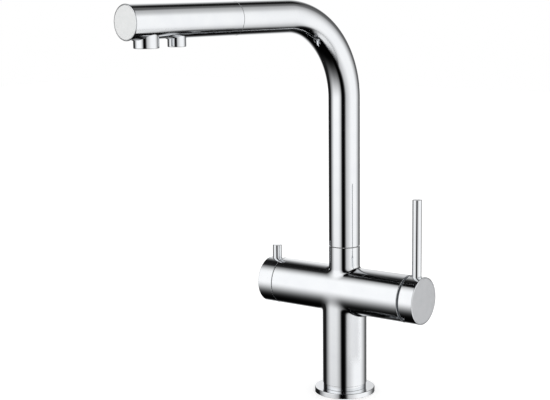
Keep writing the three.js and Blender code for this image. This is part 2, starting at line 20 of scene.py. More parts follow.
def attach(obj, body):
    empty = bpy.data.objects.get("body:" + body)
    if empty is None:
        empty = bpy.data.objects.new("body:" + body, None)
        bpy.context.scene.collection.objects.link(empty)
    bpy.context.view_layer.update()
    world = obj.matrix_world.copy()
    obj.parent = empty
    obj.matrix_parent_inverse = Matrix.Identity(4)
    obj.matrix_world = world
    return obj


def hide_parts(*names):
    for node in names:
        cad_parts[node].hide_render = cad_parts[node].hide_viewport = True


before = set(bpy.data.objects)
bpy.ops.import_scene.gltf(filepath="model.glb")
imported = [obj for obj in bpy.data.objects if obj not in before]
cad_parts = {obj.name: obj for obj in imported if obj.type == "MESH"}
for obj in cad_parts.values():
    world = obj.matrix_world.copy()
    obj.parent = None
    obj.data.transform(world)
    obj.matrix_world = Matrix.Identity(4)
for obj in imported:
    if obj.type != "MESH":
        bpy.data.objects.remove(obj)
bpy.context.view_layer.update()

log = logging.getLogger("tap")

MM = 0.001
GAP = 0.3  # clearance between neighbouring pieces
PAST = 1.0  # how far a cutter runs past the face it opens
WELD = 1e-7  # in metres: corners nearer than this are one
SAME = 1e-9  # points of an outline nearer than this are one
FACING = "facing"  # corner attribute: which way the true surface faces there
UNSET = 0.5  # a kept direction shorter than this was never given
BLOCK_ACROSS, BLOCK_ALONG = 30.0, 90.0  # how far a cutting block reaches, past what it cuts
ROUND_STEPS = 5  # faces across a rounded edge
FINE = 144  # faces round a large turned piece
SMALL = 64  # faces round a small one
HEXAGON = 6  # faces round a hexagon

X, Y, Z = Vector((1, 0, 0)), Vector((0, 1, 0)), Vector((0, 0, 1))
BARREL_HEIGHT = 95.0
ARM_HEIGHT = 342.0
REST_TURN = -9.0
ARM_TURN = math.radians(REST_TURN - 90)  # from +X round to the way the arm points
ARM_WAY = Vector((math.cos(ARM_TURN), math.sin(ARM_TURN), 0))

Tree, Socket, Node = bpy.types.NodeTree, bpy.types.NodeSocket, bpy.types.Node
Material, Mesh, Object = bpy.types.Material, bpy.types.Mesh, bpy.types.Object
Corners = Sequence[tuple[float, ...]]  # an outline: (radius, along) or (radius, along, rounding)


class Body(Enum):
    """The bodies that finer pieces ride on, by their names in the record."""

    FIXED = "body"
    MIXER = "mixer_handle"
    FILTER = "filter_handle"
    SPOUT = "spout"


class Slot(Enum):
    """The record's material slots."""

    CHROME = "chrome"
    SATIN = "satin_chrome"
    BRASS = "brass"
    STEEL = "steel"
    RUBBER = "rubber"
    ACETAL = "acetal"
    PLASTIC = "grey_plastic"
    CERAMIC = "ceramic"


class Side(Enum):
    """The two ends of the barrel."""

    MIXER = 1
    FILTER = -1


# ---- Turned shapes ----


@dataclass(frozen=True)
class Axis:
    """A straight line that pieces are turned about; angle 0 points to its side."""

    origin: Vector
    along: Vector
    side: Vector

    def spoke(self, angle: float) -> Vector:
        """The unit vector away from the axis at an angle in radians."""
        return self.side * math.cos(angle) + self.along.cross(self.side) * math.sin(angle)

    def point(self, radius: float, along: float, angle: float) -> Vector:
        """The place at a radius, a distance along the axis and an angle in radians."""
        return self.origin + self.along * along + self.spoke(angle) * radius


UPRIGHT = Axis(Vector(), Z, X)
ARM = Axis(Z * ARM_HEIGHT, ARM_WAY, Z)


def barrel_axis(side: Side) -> Axis:
    """The barrel's axis, running from the tap's middle towards one end."""
    return Axis(Z * BARREL_HEIGHT, X * side.value, Z)


@dataclass(frozen=True)
class Row:
    """One ring of a turned piece: its place on the outline, and which way it faces there."""

    radius: float
    along: float
    out: float
    forward: float


def outline(corners: Corners) -> list[Row]:
    """Turns an outline's corners into rings, with its rounded corners worked out.

    Args:
        corners: The outline. Metal lies on the left of the way it runs. Where both ends are on
            one point the outline is a ring.

    Returns:
        The rings in order.
    """
    points = [Vector(corner[:2]) for corner in corners]
    rounding = [corner[2] if len(corner) > 2 else 0.0 for corner in corners]
    ways = [(b - a).normalized() for a, b in zip(points, points[1:])]
    is_ring = (points[0] - points[-1]).length < SAME
    if is_ring:
        rounding[-1] = rounding[0]
    following = ways[1:] + [ways[0] if is_ring else ways[-1]]
    setback = [0.0]
    for way, after, radius in zip(ways, following, rounding[1:]):
        setback.append(radius * math.tan(way.angle(after) / 2) if radius else 0.0)
    setback[0] = setback[-1] if is_ring else 0.0
    rows: list[Row] = []
    for i, (way, after) in enumerate(zip(ways, following)):
        facing = Vector((way.y, -way.x))
        start = points[i] + way * setback[i]
        end = points[i + 1] - way * setback[i + 1]
        rows += [Row(*start, *facing), Row(*end, *facing)]
        radius = rounding[i + 1]
        if not radius:
            continue
        turn = way.angle_signed(after)
        bulge = -1 if turn > 0 else 1
        centre = end - facing * bulge * radius
        for step in range(1, ROUND_STEPS):
            part = facing.copy()
            part.rotate(Matrix.Rotation(-turn * step / ROUND_STEPS, 2))
            rows.append(Row(*(centre + part * bulge * radius), *part))
    if is_ring:
        rows.append(rows[0])
    return rows


def rod(radius: float, start: float, end: float, rounding: float = 0.0) -> Corners:
    """The outline of a solid rod whose far rim is rounded."""
    return [(0, start), (radius, start), (radius, end, rounding), (0, end)]


def collar(outer: float, inner: float, start: float, end: float, rounding: float = 0.0) -> Corners:
    """The outline of a tube whose outer rims are rounded."""
    rims = [(outer, start, rounding), (outer, end, rounding)]
    return [(inner, start), *rims, (inner, end), (inner, start)]


class Skin:
    """A mesh under construction, whose face corners keep the true surface's direction."""

    def __init__(self) -> None:
        """Starts an empty mesh."""
        self.shape = bmesh.new()
        self.facing = self.shape.loops.layers.float_vector.new(FACING)

    def grid(self, points: list[list[Vector]], normals: list[list[Vector]]) -> None:
        """Adds faces between rings of points, each ring closed on itself.

        Args:
            points: The rings' points.
            normals: The true surface's direction at each.
        """
        rings = [[self.shape.verts.new(point * MM) for point in ring] for ring in points]
        columns = len(points[0])
        for lower in range(len(points) - 1):
            for left in range(columns):
                right = (left + 1) % columns
                corners = [(lower, left), (lower, right), (lower + 1, right), (lower + 1, left)]
                self.face([rings[i][j] for i, j in corners], [normals[i][j] for i, j in corners])

    def face(self, corners: list[bmesh.types.BMVert], normals: list[Vector]) -> None:
        """Adds one face, turned outwards, unless its corners fall together.

        Args:
            corners: The face's corners in order, either way round.
            normals: The true surface's direction at each.
        """
        kept = [
            (corner, normal)
            for i, (corner, normal) in enumerate(zip(corners, normals))
            if (corner.co - corners[i - 1].co).length > WELD
        ]
        if len(kept) < 3:
            return
        middle = sum((normal for _, normal in kept), Vector())
        swept = sum(
            (a.co.cross(b.co) for (a, _), (b, _) in zip(kept, kept[1:] + kept[:1])), Vector()
        )
        if swept.dot(middle) < 0:
            kept.reverse()
        made = self.shape.faces.new([corner for corner, _ in kept])
        made.smooth = True
        for loop, (_, normal) in zip(made.loops, kept):
            loop[self.facing] = normal

    def turn(self, corners: Corners, axis: Axis, around: int = FINE) -> "Skin":
        """Adds a surface of revolution.

        Args:
            corners: Its outline.
            axis: The axis that it is turned about.
            around: How many faces go round.

        Returns:
            This skin.
        """
        rows = outline(corners)
        angles = [2 * math.pi * step / around for step in range(around)]
        self.grid(
            [[axis.point(row.radius, row.along, angle) for angle in angles] for row in rows],
            [
                [axis.spoke(angle) * row.out + axis.along * row.forward for angle in angles]
                for row in rows
            ],
        )
        return self

    def block(self, low: Vector, high: Vector) -> "Skin":
        """Adds a closed block, for a cutter.

        Args:
            low: Its lowest corner.
            high: Its highest corner.

        Returns:
            This skin.
        """
        for way in range(3):
            for end in (0, 1):
                normal = Vector(((way == 0), (way == 1), (way == 2))) * (1 if end else -1)
                corners = []
                for first, second in ((0, 0), (1, 0), (1, 1), (0, 1)):
                    pick = [first, second]
                    pick.insert(way, end)
                    place = Vector([(low, high)[pick[i]][i] for i in range(3)])
                    corners.append(self.shape.verts.new(place * MM))
                self.face(corners, [normal] * 4)
        return self

    def finished(self, name: str, material: Material) -> Object:
        """Welds the skin and makes it an object at the origin.

        Args:
            name: The object's name.
            material: Its material.

        Returns:
            The object.
        """
        bmesh.ops.remove_doubles(self.shape, verts=self.shape.verts, dist=WELD)
        mesh = bpy.data.meshes.new(name)
        self.shape.to_mesh(mesh)
        self.shape.free()
        mesh.materials.append(material)
        true_normals(mesh)
        return linked(name, mesh)


def linked(name: str, mesh: Mesh) -> Object:
    """Puts a mesh in the scene.

    Args:
        name: The object's name.
        mesh: The mesh.

    Returns:
        The object.
    """
    made = bpy.data.objects.new(name, mesh)
    bpy.context.scene.collection.objects.link(made)
    return made


def true_normals(mesh: Mesh) -> None:
    """Shades a mesh by the directions that its face corners keep, turned to its faces' side.

    Args:
        mesh: The mesh. A corner that keeps none is shaded flat.
    """
    kept = mesh.attributes.get(FACING)
    normals = []
    for face in mesh.polygons:
        face.use_smooth = True
        for index in face.loop_indices:
            normal = Vector(kept.data[index].vector)
            if normal.length < UNSET:
                normal = face.normal.copy()
            if normal.dot(face.normal) < 0:
                normal.negate()
            normals.append(normal.normalized())
    mesh.normals_split_custom_set(normals)


def cut(piece: Object, cutter: Object) -> Object:
    """Cuts one object out of another and removes the cutter.

    Args:
        piece: The object to cut.
        cutter: What is cut away.

    Returns:
        The piece.
    """
    step = piece.modifiers.new("bore", "BOOLEAN")
    step.operation, step.solver, step.object = "DIFFERENCE", "EXACT", cutter
    step.material_mode = "TRANSFER"
    bake(piece)
    true_normals(piece.data)
    bpy.data.objects.remove(cutter)
    return piece


def bored(piece: Object, hole: Skin, wall: Material) -> Object:
    """Cuts the inside of a skin out of an object, whose cut faces get the wall's material."""
    return cut(piece, hole.finished("hole", wall))


def bake(piece: Object) -> None:
    """Turns what an object's modifiers make into its plain mesh.

    Args:
        piece: The object.
    """
    graph = bpy.context.evaluated_depsgraph_get()
    plain = bpy.data.meshes.new_from_object(
        piece.evaluated_get(graph), preserve_all_data_layers=True, depsgraph=graph
    )
    piece.modifiers.clear()
    piece.data = plain
    plain.name = piece.name


def placed(piece: Object, body: Body, slot: Slot, *nodes: str) -> None:
    """Ties a finished piece to the frame and reports it.

    Args:
        piece: The finished object.
        body: The body that it moves with.
        slot: The record's slot of its finish. Not used.
        nodes: The solids that it stands for.
    """
    kept = piece.data.attributes.get(FACING)
    if kept:
        piece.data.attributes.remove(kept)
    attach(piece, body.value)
    if nodes:
        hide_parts(*nodes)
    log.info("%s: %d faces on %s", piece.name, len(piece.data.polygons), body.value)


# ---- Node trees ----

Value = Socket | float | int | bool | tuple | Vector
Inputs = dict[str | int, Value]
Edge = tuple[float, float]  # a soft edge: where its middle is, and how wide it fades
Sizes = dict[str, float | Vector]  # in millimetres, and counts as whole numbers


def feed(tree: Tree, node: Node, sockets: Inputs) -> None:
    """Gives a node its values and links.

    Args:
        tree: The node's tree.
        node: The node.
        sockets: Its inputs by name or number, each a value or the socket that feeds it.
    """
    for name, value in sockets.items():
        if isinstance(value, Socket):
            tree.links.new(value, node.inputs[name])
        else:
            node.inputs[name].default_value = value


def add_node(tree: Tree, kind: str, sockets: Inputs | None = None, **settings: object) -> Node:
    """Adds a node.

    Args:
        tree: The tree that it goes in.
        kind: The node's type.
        sockets: Its inputs by name or number, each a value or the socket that feeds it.
        settings: Its other properties.

    Returns:
        The node.
    """
    made = tree.nodes.new(kind)
    for name, value in settings.items():
        setattr(made, name, value)
    feed(tree, made, sockets or {})
    return made


def output(
    tree: Tree, kind: str, sockets: Inputs | None = None, pick: str | int = 0, **settings: object
) -> Socket:
    """Adds a node for one of its outputs, picked by name or number."""
    return add_node(tree, kind, sockets, **settings).outputs[pick]


def math_node(tree: Tree, operation: str, *values: Value) -> Socket:
    """The result of one step of arithmetic on sockets or numbers."""
    return output(tree, "ShaderNodeMath", dict(enumerate(values)), operation=operation)


def length_node(tree: Tree, way: Socket) -> Socket:
    """How long a vector is."""
    return output(tree, "ShaderNodeVectorMath", {0: way}, "Value", operation="LENGTH")


def azimuth_node(tree: Tree, x: Value, y: Value) -> Socket:
    """The azimuth of a direction in degrees: 0 is towards -Y and 90 towards +X."""
    turn = math_node(tree, "ARCTAN2", x, math_node(tree, "MULTIPLY", y, -1.0))
    return math_node(tree, "DEGREES", turn)


def window(tree: Tree, *spans: tuple[Socket, Edge, Edge]) -> Socket:
    """A soft-edged window.

    Args:
        tree: The tree that it goes in.
        spans: Each a measure with the edges that it has to lie between.

    Returns:
        1 inside the window and 0 outside it, with smooth steps between.
    """
    cover: Value = 1.0
    for measure, lower, upper in spans:
        for (place, fade), beyond in ((lower, 1.0), (upper, 0.0)):
            limits = {"From Min": place - fade / 2, "From Max": place + fade / 2}
            ends = {"To Min": 1.0 - beyond, "To Max": beyond}
            sockets = {"Value": measure, **limits, **ends}
            step = output(
                tree, "ShaderNodeMapRange", sockets, "Result", interpolation_type="SMOOTHSTEP"
            )
            cover = math_node(tree, "MULTIPLY", step, cover)
    return cover


def bare_tree(owner: Material | bpy.types.World) -> Tree:
    """Empties a node tree.

    Args:
        owner: The material or world that it belongs to.

    Returns:
        The tree.
    """
    owner.use_nodes = True
    owner.node_tree.nodes.clear()
    return owner.node_tree


def linear(hex_colour: str) -> tuple[float, float, float, float]:
    """Turns an sRGB colour into the linear values that shaders take.

    Args:
        hex_colour: The colour, as #rrggbb.

    Returns:
        Its red, green and blue, and 1 for opaque.
    """
    parts = [int(hex_colour[i : i + 2], 16) / 255 for i in (1, 3, 5)]
    curved = [p / 12.92 if p <= 0.04045 else ((p + 0.055) / 1.055) ** 2.4 for p in parts]
    return (*curved, 1.0)


class Generator:
    """A Geometry Nodes tree that makes pieces from sizes, each given through a socket."""

    name: str = ""
    sizes: dict[str, str] = {}  # the kind of each size

    def __init__(self) -> None:
        """Makes the tree: its sockets, and the shape between them in its finish."""
        self.tree = bpy.data.node_groups.new(self.name, "GeometryNodeTree")
        self.socket("Geometry", "Geometry", "INPUT")
        kinds = {**self.sizes, "Finish": "Material"}
        self.sockets = {size: self.socket(size, kinds[size], "INPUT") for size in kinds}
        self.socket("Geometry", "Geometry", "OUTPUT")
        given = self.add("NodeGroupInput").node.outputs
        plain = self.add("GeometryNodeRealizeInstances", {"Geometry": self.shape(given)})
        finish = {"Geometry": plain, "Material": given["Finish"]}
        add_node(self.tree, "NodeGroupOutput", {0: self.add("GeometryNodeSetMaterial", finish)})

    def socket(self, name: str, kind: str, way: str) -> str:
        """Gives the tree a socket and tells its identifier."""
        kind = "NodeSocket" + kind
        return self.tree.interface.new_socket(name, in_out=way, socket_type=kind).identifier

    def add(self, kind: str, sockets: Inputs | None = None, **settings: object) -> Socket:
        """Adds a node to the tree for its first output."""
        return output(self.tree, kind, sockets, **settings)

    def joined(self, shapes: Sequence[Socket]) -> Socket:
        """Joins shapes.

        Args:
            shapes: The shapes.

        Returns:
            All of them as one.
        """
        join = add_node(self.tree, "GeometryNodeJoinGeometry")
        for shape in shapes:
            self.tree.links.new(shape, join.inputs[0])
        return join.outputs[0]

    def shape(self, given: bpy.types.NodeOutputs) -> Socket:
        """The shape that the tree makes from the sockets given to it."""
        raise NotImplementedError

    def make(self, name: str, path: Sequence[Vector], sizes: Sizes, finish: Material) -> Object:
        """Makes one piece as a plain mesh.

        Args:
            name: The piece's name.
            path: The corners of the line that it starts from, if it has one.
            sizes: The tree's sizes.
            finish: Its material.

        Returns:
            The object.
        """
        mesh = bpy.data.meshes.new(name)
        steps = [(i, i + 1) for i in range(len(path) - 1)]
        mesh.from_pydata([point * MM for point in path], steps, [])
        made = linked(name, mesh)
        nodes = made.modifiers.new(self.name, "NODES")
        nodes.node_group = self.tree
        for size, value in sizes.items():
            metres = value if isinstance(value, int) else value * MM
            nodes[self.sockets[size]] = tuple(metres) if isinstance(value, Vector) else metres
        nodes[self.sockets["Finish"]] = finish
        bake(made)
        return made


# ---- Finishes ----

SPREAD = (0.3, 0.7)  # the part of a noise's range that nearly all of it lies in


@dataclass(frozen=True)
class Finish:
    """A material's surface: two close shades, a range of roughness and a fine relief."""

    name: str
    dark: str
    light: str
    smooth: float
    rough: float
    patch: float  # size of the patches of shade and roughness
    grain: float  # size of the fine relief
    relief: float  # its depth
    metallic: float = 1.0

    def material(self) -> Material:
        """Builds the material from its patches, its roughness and its relief.

        Returns:
            The material.
        """
        made = bpy.data.materials.new(self.name)
        made.use_nodes = True
        tree = made.node_tree
        places = output(tree, "ShaderNodeTexCoord", pick="Object")
        noise = {"Vector": places, "Scale": 1 / (self.patch * MM), "Detail": 3.0}
        patches = output(tree, "ShaderNodeTexNoise", noise, "Fac")
        ramp = add_node(tree, "ShaderNodeValToRGB", {"Fac": patches})
        for stop, place, shade in zip(ramp.color_ramp.elements, SPREAD, (self.dark, self.light)):
            stop.position = place
            stop.color = linear(shade)
        spread = {"Value": patches, "From Min": SPREAD[0], "From Max": SPREAD[1]}
        spread.update({"To Min": self.smooth, "To Max": self.rough})
        relief = {"Height": self.height(tree, places), "Distance": self.relief * MM}
        surface = {
            "Metallic": self.metallic,
            "Base Color": ramp.outputs["Color"],
            "Roughness": output(tree, "ShaderNodeMapRange", spread, "Result"),
            "Normal": output(tree, "ShaderNodeBump", {**relief, "Strength": 1.0}, "Normal"),
        }
        feed(tree, tree.nodes["Principled BSDF"], surface)
        return made

    def height(self, tree: Tree, places: Socket) -> Socket:
        """The fine relief at each place of the surface, as a height from 0 to 1."""
        grain = {"Vector": places, "Scale": 1 / (self.grain * MM), "Detail": 2.0}
        return output(tree, "ShaderNodeTexNoise", grain, "Fac")


@dataclass(frozen=True)
class SpunFinish(Finish):
    """A face finished on a lathe, with fine rings round its middle."""

    centre: tuple[float, float, float] = (0.0, 0.0, 0.0)

    def height(self, tree: Tree, places: Socket) -> Socket:
        """Rings whose spacing wanders a little.

        Args:
            tree: The material's node tree.
            places: Where each point of the surface is.

        Returns:
            Their height, from 0 to 1.
        """
        ends = {0: places, 1: Vector(self.centre) * MM}
        centred = output(tree, "ShaderNodeVectorMath", ends, "Vector", operation="SUBTRACT")
        away = length_node(tree, centred)
        rings = {"W": away, "Scale": 1 / (self.grain * MM), "Detail": 4.0}
        return output(tree, "ShaderNodeTexNoise", rings, "Fac", noise_dimensions="1D")


LOOKS = {
    # Polished chrome over brass: a clear mirror, a little uneven in polish from hand buffing.
    Slot.CHROME: Finish("polished_chrome_plate", "#eaecef", "#eef0f2", 0.04, 0.06, 14, 5, 0.0015),
    # Turned brass: warm, with a faint tool grain.
    Slot.BRASS: Finish("turned_brass", "#b8924c", "#cfaa62", 0.3, 0.42, 4, 0.4, 0.01),
    # Machined stainless steel: a darker grey than the chrome, and too rough to mirror.
    Slot.STEEL: Finish("machined_steel", "#a9acb0", "#bcbfc3", 0.3, 0.42, 3, 0.3, 0.01),
    # Moulded rubber: nearly black and dull, with a powdery bloom.
    Slot.RUBBER: Finish("moulded_rubber", "#161719", "#232427", 0.7, 0.85, 3, 0.5, 0.02, 0),
    # Moulded acetal: milky white, softly glossy.
    Slot.ACETAL: Finish("moulded_acetal", "#e2e3df", "#edeeea", 0.38, 0.48, 5, 0.8, 0.01, 0),
    # Moulded grey plastic: mid grey and half dull.
    Slot.PLASTIC: Finish(
        "moulded_grey_plastic", "#858a8f", "#959a9f", 0.4, 0.52, 4, 0.6, 0.015, 0
    ),
    # Lapped alumina ceramic: off-white and even.
    Slot.CERAMIC: Finish("lapped_ceramic", "#eee9df", "#f5f1e8", 0.2, 0.3, 3, 0.3, 0.003, 0),
}
# The barrel's turned end: a dull grey band inside the groove, darker than the chrome, painted
# shade for the groove.
GROOVE_SHADE = Finish("groove_painted_shade", "#b0b3b7", "#bcbfc3", 0.4, 0.5, 3, 0.3, 0.006)
# Satin chrome, spun on a lathe: soft grey, with rings too fine to be seen one by one. The
# outlet's disc is a lit copy of the same satin, painted paler and with less metal so that it
# scatters more light and reads brighter: painted light. Each is spun round the middle of its
# own face.
GREY, PALE_LIT = ("#eef0f3", "#f3f4f7"), ("#f5f7f7", "#fafbfb")
BARREL_DISC, ARM_DISC = 82.4, 242.9  # how far out the faces of the end discs lie
SATIN = {
    end: SpunFinish(
        "satin_chrome_spun_" + end, *shades, 0.07, 0.1, 6, 0.35, 0.001, metallic, tuple(middle)
    )
    for end, shades, metallic, middle in (
        ("mixer", GREY, 0.94, Z * BARREL_HEIGHT + X * BARREL_DISC),
        ("filter", GREY, 0.94, Z * BARREL_HEIGHT - X * BARREL_DISC),
        # The outlet's disc: a paler, less metallic copy of the satin, painted light.
        ("outlet", PALE_LIT, 0.38, Z * ARM_HEIGHT + ARM_WAY * ARM_DISC),
    )
}


class Finishes:
    """Every finish of the tap, each built once."""

    def __init__(self) -> None:
        """Builds the finishes of the slots and those of single faces."""
        self.by_slot = {slot: look.material() for slot, look in LOOKS.items()}
        self.groove_shade = GROOVE_SHADE.material()
        self.satin = {end: look.material() for end, look in SATIN.items()}

    def __getitem__(self, slot: Slot) -> Material:
        """The finish of a slot."""
        return self.by_slot[slot]

    def dress(self, slot: Slot, *nodes: str) -> None:
        """Gives the finish of a slot to solids that keep their own shape.

        Args:
            slot: The slot of the finish.
            nodes: The solids' names.
        """
        for name in nodes:
            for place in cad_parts[name].material_slots:
                place.material = self[slot]
            log.info("%s: own shape, in %s", name, self[slot].name)

    def piece(self, skin: Skin, name: str, body: Body, slot: Slot, node: str) -> None:
        """Makes a skin a piece in the finish of its slot, which stands for one solid."""
        placed(skin.finished(name, self[slot]), body, slot, node)

    def disc(self, skin: Skin, name: str, body: Body, end: str) -> None:
        """Makes a skin the satin disc of one end, which stands for that end's solid."""
        placed(skin.finished(name, self.satin[end]), body, Slot.SATIN, end + "_end_disc")


# ---- Closed ends ----

DISC_THICKNESS = 1.6
DISC_SUNK = 0.1  # how far an end disc lies under the lip round it
DISC_ROOM = 0.15  # clearance round it
DISC_EDGE = 0.15
LIP_EDGE = 0.1


def lipped_end(radius: float, face: float, edge: float, disc: float, floor: float) -> Corners:
    """The outline of a round end from its rim, over its lip, to the floor that takes a disc."""
    room = disc + DISC_ROOM
    return [(radius, face, edge), (room, face, LIP_EDGE), (room, floor)]


def disc_front(radius: float, face: float) -> Corners:
    """The outline of an end disc from its back rim to the middle of its front."""
    front = face - DISC_SUNK
    return [(radius, face - DISC_THICKNESS), (radius, front, DISC_EDGE), (0, front)]


# ---- Base ----


@dataclass
class Base:
    """The round flange that covers the tap hole, and the seal under it."""

    finishes: Finishes
    radius: float = 27.4
    height: float = 4.5
    bore: float = 16.0
    edge: float = 0.7
    lower_edge: float = 0.2
    seal_outer: float = 25.0
    seal_inner: float = 20.0
    seal_depth: float = 1.6

    def build(self) -> None:
        """Makes the flange with its groove for the seal."""
        inner, outer, depth = self.seal_inner, self.seal_outer, self.seal_depth
        groove = [(inner, 0), (inner, depth), (outer, depth), (outer, 0)]
        rims = [(self.radius, 0, self.lower_edge), (self.radius, self.height, self.edge)]
        corners = [(self.bore, 0), *groove, *rims, (self.bore, self.height), (self.bore, 0)]
        flange = Skin().turn(corners, UPRIGHT)
        self.finishes.piece(flange, "flange", Body.FIXED, Slot.CHROME, "base_flange")
        self.finishes.dress(Slot.RUBBER, "base_seal")


# ---- Body casting ----


@dataclass
class Casting:
    """The body: a column and a neck, blended into the barrel that lies across them."""

    finishes: Finishes
    column: float = 20.0
    foot: float = 19.5
    foot_top: float = 8.6
    foot_edge: float = 0.15
    step: float = 0.3  # chamfer where the uprights end
    spigot: float = 15.7
    flange_top: float = 4.6
    barrel: float = 21.0
    half: float = 67.0
    neck: float = 14.0
    neck_top: float = 135.4
    blend: float = 3.0  # radius of the ball that would roll along the corner
    eased: float = 4.0  # how far from the corner hand polishing has softened it
    middle: float = 30.0  # half length of the barrel's part that the uprights open
    around: int = 2 * FINE
    # How far from its blend the rings of an upright lie, and how far across the opened part of
    # the barrel its own rings lie: closest together where polishing has eased the corner.
    rises: tuple[float, ...] = (11.0, 9.0, 7.0, 5.5, 4.2, 3.0, 2.0, 1.2, 0.5, 0.0)
    parts: tuple[float, ...] = (0.0, 0.03, 0.07, 0.12, 0.18, 0.25, 0.34, 0.45, 0.6, 0.8, 1.0)
    edge: float = 0.7  # of the barrel's ends
    mixer_seat: float = 36.0
    filter_seat: float = 37.0
    bore: float = 17.6  # of both ends, for cartridge and valve
    valve_face: float = 52.6
    valve_bore: float = 10.6
    neck_edge: float = 0.25
    throat: float = 10.5
    throat_floor: float = 105.0
    ring: float = 12.2
    ring_seat: float = 12.5
    ring_drop: float = 1.1  # from the neck's top to the ring's foot
    seat_drop: float = 1.4  # and to its seat
    ports: tuple[float, ...] = (73.0, -73.0, 180.0)  # which way the hot, cold and filtered lie
    port: float = 4.4
    port_ring: float = 10.0
    port_below: float = 2.0  # how far under the barrel's axis the ports end
    stud: float = 3.4
    stud_depth: float = 20.0
    stud_offset: float = 11.0
    screw_below: float = 4.4  # from the neck's top to the screw
    screw: float = 2.3
    screw_ends: tuple[float, float] = (9.3, 13.3)
    screw_hole: tuple[float, float] = (2.6, 9.5)  # its radius and where it starts
    screw_edge: float = 0.3
    key: tuple[float, float, float] = (1.15, 11.3, 14.0)  # the hexagon's radius and ends

    def contact(self, upright: float, side: int, step: int) -> tuple[Vector, Vector, Vector]:
        """Where a ball rolled along the corner touches both cylinders.

        Args:
            upright: The upright cylinder's radius.
            side: 1 above the barrel, -1 below it.
            step: How far round the upright, in steps.

        Returns:
            The ball's centre, and where it touches the upright and the barrel.
        """
        angle = 2 * math.pi * step / self.around
        reach = upright + self.blend
        across = self.barrel + self.blend
        x, y = reach * math.cos(angle), reach * math.sin(angle)
        rise = side * math.sqrt(across**2 - y**2)
        share = self.barrel / across
        lift = Z * BARREL_HEIGHT
        centre = Vector((x, y, rise)) + lift
        on_upright = Vector((x * upright / reach, y * upright / reach, rise)) + lift
        on_barrel = Vector((x, y * share, rise * share)) + lift
        return centre, on_upright, on_barrel

    def border(self, step: int) -> tuple[float, float]:
        """Where a step round an upright meets the edge of the barrel's opened part.

        Args:
            step: How far round the upright, in steps.

        Returns:
            The place along the barrel, and the angle round it in radians.
        """
        quarter = self.around // 4
        sector, rest = divmod((step + quarter // 2) % self.around, quarter)
        part = 2 * rest / quarter - 1
        right = math.pi / 2
        return [
            (self.middle, right * part),
            (-self.middle * part, right),
            (-self.middle, -right * part),
            (self.middle * part, -right),
        ][sector]

    def polished(self, place: Vector, upright: float) -> Vector:
        """The way the surface faces, where polishing has eased one cylinder into the other.

        Args:
            place: A point of the surface.
            upright: The upright cylinder's radius.

        Returns:
            The direction, shared between the two cylinders near their corner.
        """
        around = Vector((place.x, place.y, 0))
        across = Vector((0, place.y, place.z - BARREL_HEIGHT))
        nearer = (across.length - self.barrel) - (around.length - upright)
        share = min(max(0.5 + nearer / (2 * self.eased), 0.0), 1.0)
        share *= share * (3 - 2 * share)
        return (around.normalized() * share + across.normalized() * (1 - share)).normalized()

    def half_skin(self, skin: Skin, upright: float, side: int, end: float) -> None:
        """Adds one upright, its blend and its half of the barrel's middle.

        Args:
            skin: The skin to add to.
            upright: The upright's radius.
            side: 1 for the neck above the barrel, -1 for the column below it.
            end: Where the upright ends.
        """
        steps = range(self.around)
        touches = [self.contact(upright, side, step) for step in steps]
        tops = [on_upright for _, on_upright, _ in touches]
        points = [[Vector((top.x, top.y, end)) for top in tops]]
        for away in self.rises:
            points.append([top + Z * side * away for top in tops])
        self.add(skin, points, upright)

        points = []
        for part in (i / (2 * ROUND_STEPS) for i in range(2 * ROUND_STEPS + 1)):
            ways = [
                (on_upright - centre).normalized().slerp((on_barrel - centre).normalized(), part)
                for centre, on_upright, on_barrel in touches
            ]
            centres = [centre for centre, _, _ in touches]
            points.append([centre + way * self.blend for centre, way in zip(centres, ways)])
        self.add(skin, points, upright)

        points = []
        for part in self.parts:
            places = []
            for step, (_, _, touch) in zip(steps, touches):
                along, angle = self.border(step)
                start = math.asin(touch.y / self.barrel)
                places.append((touch.x + (along - touch.x) * part, start + (angle - start) * part))
            across = Axis(Z * BARREL_HEIGHT, X, Z * side)
            points.append(
                [across.point(self.barrel, along, -side * angle) for along, angle in places]
            )
        self.add(skin, points, upright)

    def add(self, skin: Skin, points: list[list[Vector]], upright: float) -> None:
        """Adds rings of points to the skin, facing as they were polished."""
        skin.grid(points, [[self.polished(place, upright) for place in ring] for ring in points])

    def build(self) -> None:
        """Makes the casting, its bores and the ports in its foot."""
        foot_top, neck_end = self.foot_top + self.step, self.neck_top - self.step
        skin = Skin()
        self.half_skin(skin, self.column, -1, foot_top)
        self.half_skin(skin, self.neck, 1, neck_end)
        foot = [
            (0, 0),
            (self.spigot, 0),
            (self.spigot, self.flange_top),
            (self.foot, self.flange_top, self.foot_edge),
            (self.foot, self.foot_top),
            (self.column - self.step, self.foot_top),
            (self.column, foot_top),
        ]
        seat = self.neck_top - self.seat_drop
        neck = [
            (self.neck, neck_end),
            (self.neck, self.neck_top, self.neck_edge),
            (self.ring_seat, self.neck_top),
            (self.ring_seat, seat),
            (self.throat, seat),
            (self.throat, self.throat_floor),
            (0, self.throat_floor),
        ]
        for corners in (foot, neck):
            skin.turn(corners, UPRIGHT, self.around)
        valve = [(self.bore, self.valve_face), (self.valve_bore, self.valve_face)]
        bores = {
            Side.MIXER: [(self.bore, self.mixer_seat)],
            Side.FILTER: [*valve, (self.valve_bore, self.filter_seat)],
        }
        for side, steps in bores.items():
            rim = [(self.barrel, self.middle), (self.barrel, self.half, self.edge)]
            corners = [*rim, (self.bore, self.half), *steps, (0, steps[-1][1])]
            skin.turn(corners, barrel_axis(side), self.around // 2)
        casting = skin.finished("casting", self.finishes[Slot.CHROME])

